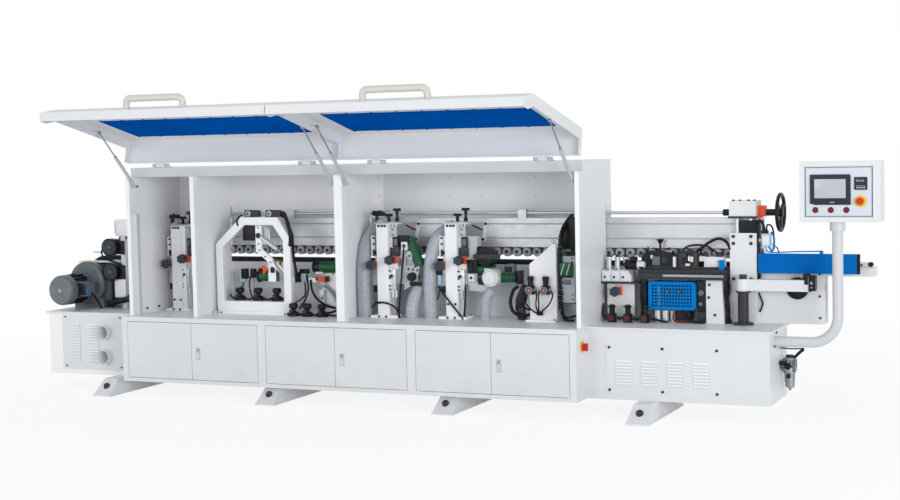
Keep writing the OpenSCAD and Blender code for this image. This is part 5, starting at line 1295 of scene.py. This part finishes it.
def drive_end():
    scatter("motor_fan_cover", "fan_slots", [((-2252, 199.6, 678), FRONT, 98)], "dull_steel")
    scatter("buffing_fan_covers", "fan_slots", [((-1985, 414.6, z), FRONT, 60) for z in BUFFING_MOTORS],
        "motor_grey")
    p = Piece("drive_fittings")
    p.box((-2163, 279, 640), (-2094, 284.5, 722), "motor_dark", 3)
    p.box((-2093, 280, 640), (-2087, 284.5, 722), "guard_blue", 1)
    p.hollow((-2252, 431, 678), BACK, 60, [(0, 112), (8, 117), (14, 117)], "motor_grey", 48)
    p.box((-2280, 440, 796), (-2232, 476, 806), "yellow_plastic", 3)
    p.turned((-2160, 476, 842), UP, [(0, 13), (8, 13), (12, 7), (18, 7)], "yellow_plastic", 16)
    p.lead([(-2092, 330, 660), (-2060, 340, 620), (-2052, 370, 570), (-2056, 400, 541)], 7)
    for z in BUFFING_MOTORS:
        p.box((-1985, 452, z - 52), (-1886, 461, z + 44), "motor_dark", 5)
        p.hollow((-1985, 415.4, z), FRONT, 56, [(0, 61), (4, 62), (7, 60)], "motor_dark", 40)
    p.box((-1974, 477, 1042), (-1868, 560, 1150), "unit_white_and_painted_light", 3)
    p.box((-1978, 472, 1138), (-1866, 566, 1156), "unit_white_and_painted_light", 2)
    p.box((-1940, 470, 1022), (-1866, 560, 1039.5), "black_plastic", 3)
    p.rod((-1986, 500, 1104), (-1973, 500, 1104), 13, "red_plastic")
    p.box((-1975.5, 475.5, 1060), (-1971, 480, 1140), "guard_blue", 1)
    p.lead([(-2050, 440, 960), (-2062, 430, 930), (-2040, 430, 890), (-1990, 440, 868), (-1930, 450, 848),
        (-1890, 456, 820)], 6)
    p.rod((-2020, 436, 572), (-1780, 440, 618), 20, "black_plastic")
    p.rod((-1850, 438, 606), (-1780, 440, 619), 27, "black_oxide")
    p.box((-1976, 452, 612), (-1884, 470, 738), "unit_white_and_painted_light", 4)
    p.rod((-2210, 540, 922), (-2050, 540, 924), 4, "light_blue_plastic")
    p.done()


# Bolts in the feet, ducts in the dust ports
def feet_and_ports():
    q = Piece("foot_bolts")
    for x in (-1744, -485, 753, 1980):
        q.turned((x, 14.8, 56.8), (0, -0.9, 0.436), [(0, 21.5), (18, 21.5), (20, 19)], "black_oxide", 28)
    q.done()
    q = Piece("port_ducts")
    for z in (233, 402):
        q.lathe((-1870, 140, z), BACK, [(0, 46.6), (0, 45), (190, 45), (190, 0), (193, 0), (193, 46.6),
            (0, 46.6)], "unit_white_and_painted_light", 48)
    q.done()


# Vent panels: louvres, a strip of painted shadow under each louvre, and screws
def vents():
    louvres = [(x, 197 + 20.5 * k, size) for x, size in ((-2118, 76), (-1973, 96)) for k in range(13)]
    louvres += [(1833 + 155.5 * group, 195 + 19 * k, 96) for group in range(4) for k in range(8)]
    scatter("louvre_hoods", "louvre_hood", [((x, 180, z + 9), FRONT, size) for x, z, size in louvres],
        "unit_white_and_painted_light")
    # Painted shadow: a dull grey strip just under each louvre hood
    scatter("louvre_painted_shadows", "louvre_painted_shadow", [((x, 180, z + 2), FRONT, size) for x, z, size in louvres],
        "dull_steel")
    for x, z in ((-2199, 500), (-1744, 502), (-2200, 160), (-1744, 163)):
        screw((x, 180, z), FRONT, 6.0)
    for x in (1743, 2067, 2391):
        screw((x, 180, 416), FRONT, 8.0)
        screw((x, 180, 163), FRONT, 8.0)


# Walls: covers over the notches, folded front of the left wall, bracket of the left gas spring
NOTCH_COVER = [(582, 1281), (582, 1243), (613, 1243), (613, 1200), (689.5, 1200), (689.5, 1281)]


def wall_trim():
    p = Piece("wall_trim")
    p.prism(NOTCH_COVER, "x", 1574, 1598, "white_paint", 1)
    p.box((-1572.2, 96.2, 536), (-1521, 98.6, 1213), "soft_white_and_painted_shade", 0.8)
    p.box((-1523.4, 98, 536), (-1521, 130, 1213), "soft_white_and_painted_shade", 0.8)
    p.prism([(581.6, 1281), (581.6, 1010), (689.5, 1010), (689.5, 1281)], "x", -1598, -1574, "unit_white_and_painted_light", 1)
    for x in (-1096, -28):
        p.prism(NOTCH_COVER, "x", x + 0.4, x + 3.6, "unit_white_and_painted_light", 0.6)
    p.prism([(128, 1452), (266, 1452), (204, 1384), (176, 1376), (150, 1396)], "x",
        -1571.8, -1567, "unit_white_and_painted_light", 1.5)
    p.turned((-1567, 182, 1396), RIGHT, [(-1, 9), (2, 9), (3, 6)], "black_oxide", 16)
    p.done()


# Screws of the rear panel, the left wall, the back and the right end
def panel_screws():
    spots = [((x, 690, z), FRONT, 4.5) for x in (0, 503, 733, 1100) for z in (1300, 1416)]
    scatter("panel_screws", "socket_head", spots, "grey_paint")
    for y in (253, 390):
        screw((-1572, y, 566), RIGHT, 8.0)
    track_back = (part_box("conveyor_track")[1].y - ORIGIN.y) * MM_PER_M
    for k in range(13):
        screw((-1560 + 260 * k, 693, 1486), BACK, 7.0)
        screw((-2220 + 400 * k, track_back, 600), BACK, 9.0)
    for y, z in ((352, 513), (297, 439)):
        screw((2695, y, z), RIGHT, 9.0)


# Lids, drawn shut and turned open about their hinge: window screws, lips and handle sleeves
LID_HINGE = Vector((0, 160, 1534))
OPEN_ANGLE = math.radians(-103.4)
HANDLE_TILT = math.radians(111.43)
SCREW_MARGIN = 141


def lid_trim():
    turn = Matrix.Rotation(OPEN_ANGLE, 4, "X")
    open_lid = Matrix.Translation(LID_HINGE) @ turn @ Matrix.Translation(-LID_HINGE)
    for side, low, high in (("left", -1600, -3), ("right", 3, 1600)):
        first = low + SCREW_MARGIN
        pitch = (high - low - 2 * SCREW_MARGIN) / 8
        spots = [((first + pitch * k, -12.5, z), BACK, 6.0) for k in range(9) for z in (972, 1412)]
        scatter("window_screws_" + side, "socket_head", spots, "black_oxide", "lid_" + side, open_lid)
        q = Piece("lid_lip_" + side, "lid_" + side, None, open_lid)
        q.box((low + 4, 146, 1490), (high - 4, 148.6, 1508), "unit_white_and_painted_light", 0.8)
        q.done()
        foot = Matrix.Translation(((low + high) / 2, 10, 617.3))
        grip = open_lid @ foot @ Matrix.Rotation(HANDLE_TILT, 4, "X")
        q = Piece("handle_sleeve_" + side, "lid_" + side, "handle_cream", grip)
        q.tube([(-201, 0, 2), (-201, 0, 24), (-194, 0, 46), (-172, 0, 58), (-120, 0, 60), (120, 0, 60),
            (172, 0, 58), (194, 0, 46), (201, 0, 24), (201, 0, 2)], 20.5, "cream_plastic", 20)
        q.done()


# Doors: locks of the latches
def latch_locks():
    for number, bay in enumerate(BAYS, 1):
        q = Piece(f"latch_lock_{number}", f"door_{number}_right")
        q.turned((bay + 51.5, -2.9, 330), FRONT, [(0, 7), (1.5, 7), (2.5, 5)], "dull_steel", 18)
        q.box((bay + 50.3, -6, 326), (bay + 52.7, -5.2, 334), "black_oxide", 0.2)
        q.done()


# Beam: two lever brackets with their links
def beam_levers():
    p = Piece("beam_levers", "beam")
    for x in (314, 786):
        p.prism([(x, 1142), (x + 26, 1142), (x + 18, 1076), (x + 4, 1008), (x - 22, 1008), (x - 10, 1076)],
            "y", 587, 594.6, "white_paint", 2)
        p.rod((x - 82, 590, 1115), (x - 8, 590, 1082), 4.5, "cable_black")
        for across, up in ((13, 1124), (-9, 1024)):
            p.turned((x + across, 587, up), FRONT, [(0, 10), (6, 9)], "black_oxide", 16)
    p.done()


for make in (fine_head, rough_head, arch_fittings, arm_fittings, lower_head, drag_chain, end_trim,
        saw_carriage, tape_clamps, feed_table, glue_pot, regulators, lift_fittings, shaft_couplings,
        filter_fittings, infeed, control_panel, drive_end, feet_and_ports, vents, wall_trim, panel_screws,
        lid_trim, latch_locks, beam_levers):
    make()

# Pressure rollers: hubs and bolts; then all screws, a mesh for each body
FIRST_ROLLER = -1518
ROLLER_PITCH = 68
ROLLER_COUNT = 61
ROLLER_AXIS = 945
ROLLERS = [FIRST_ROLLER + ROLLER_PITCH * k for k in range(ROLLER_COUNT)]
hubs = [((x, 608.5, ROLLER_AXIS), FRONT, 22.0) for x in ROLLERS]
bolts = [((x, 605, ROLLER_AXIS), FRONT, 8.5) for x in ROLLERS]
scatter("roller_hubs", "roller_hub", hubs, "hub_grey", "beam")
scatter("roller_bolts", "hub_bolt", bolts, "black_oxide", "beam")
for body, spots in screws.items():
    scatter("screws_" + body, "socket_head", spots, "black_oxide", body)


# Studio, in metres: pale floor that fades to a white backdrop, soft lamps and the photo's camera
WHITE = (1, 1, 1, 1)
FLOOR_RADIUS = 60.0
FADE_START = 2.8
FADE_END = 6.5


def white_rays(tree):
    path = tree.nodes.new("ShaderNodeLightPath").outputs
    seen = maths(tree, "MAXIMUM", path["Is Camera Ray"], path["Is Glossy Ray"])
    return maths(tree, "MAXIMUM", seen, path["Is Transmission Ray"])


def blend_surface(tree, amount, first, second, out_name):
    both = add(tree, "ShaderNodeMixShader", {0: amount, 1: first.outputs[0], 2: second.outputs[0]})
    wire(tree, tree.nodes[out_name], {"Surface": both.outputs[0]})


def studio_floor():
    work = bmesh.new()
    bmesh.ops.create_circle(work, cap_ends=True, segments=96, radius=FLOOR_RADIUS)
    mesh = bpy.data.meshes.new("studio_floor")
    work.to_mesh(mesh)
    work.free()
    floor = placed("studio_floor", mesh)
    material, tree, shader = new_material("studio_floor")
    place = surface(tree)
    tone = mix(tree, noise(tree, place, 3.0, 3.0), (0.93, 0.93, 0.93, 1), (0.96, 0.96, 0.96, 1))
    wire(tree, shader, {"Base Color": tone, "Roughness": 0.9, "Specular IOR Level": 0.0})
    glow = add(tree, "ShaderNodeEmission", {"Color": WHITE, "Strength": 1.0})
    away = add(tree, "ShaderNodeVectorMath", {0: place}, operation="LENGTH").outputs["Value"]
    fade = times(tree, spread(tree, away, 0.87, 1.0, FADE_START, FADE_END), white_rays(tree))
    blend_surface(tree, fade, shader, glow, "Material Output")
    mesh.materials.append(material)


def studio_light():
    world = bpy.data.worlds.new("studio")
    bpy.context.scene.world = world
    world.use_nodes = True
    tree = world.node_tree
    lit = tree.nodes["Background"]
    wire(tree, lit, {"Color": (0.97, 0.985, 1.0, 1), "Strength": 0.63})
    seen = add(tree, "ShaderNodeBackground", {"Color": WHITE, "Strength": 1.0})
    blend_surface(tree, white_rays(tree), lit, seen, "World Output")
    for name, place, aim, size, power in (
        ("key_lamp", (-4.0, -9.0, 2.6), (-0.8, 0.0, 0.9), (7.0, 3.0), 170.0),
        ("fill_lamp", (10.0, -8.0, 2.2), (0.0, 0.2, 0.9), (5.0, 3.0), 560.0),
    ):
        lamp = bpy.data.lights.new(name, "AREA")
        lamp.shape = "RECTANGLE"
        lamp.size, lamp.size_y = size
        lamp.energy = power
        holder = placed(name, lamp)
        holder.location = place
        holder.rotation_euler = (Vector(aim) - Vector(place)).to_track_quat("-Z", "Y").to_euler()


def photo_camera():
    data = bpy.data.cameras.new("photo_camera")
    data.sensor_width = 36.0
    data.lens = 63.03
    data.clip_end = 200.0
    camera = placed("photo_camera", data)
    right = Vector((0.91379425, 0.40557505, -0.02211228))
    up = Vector((-0.00750551, 0.07129107, 0.99742732))
    back = Vector((0.40610804, -0.91127738, 0.06818942))
    turn = Matrix((right, up, back)).transposed().to_4x4()
    camera.matrix_world = Matrix.Translation(row((4663.05, -8653.28, 1645.77))) @ turn
    bpy.context.scene.camera = camera


studio_floor()
studio_light()
photo_camera()
bpy.context.scene.view_settings.view_transform = "Standard"
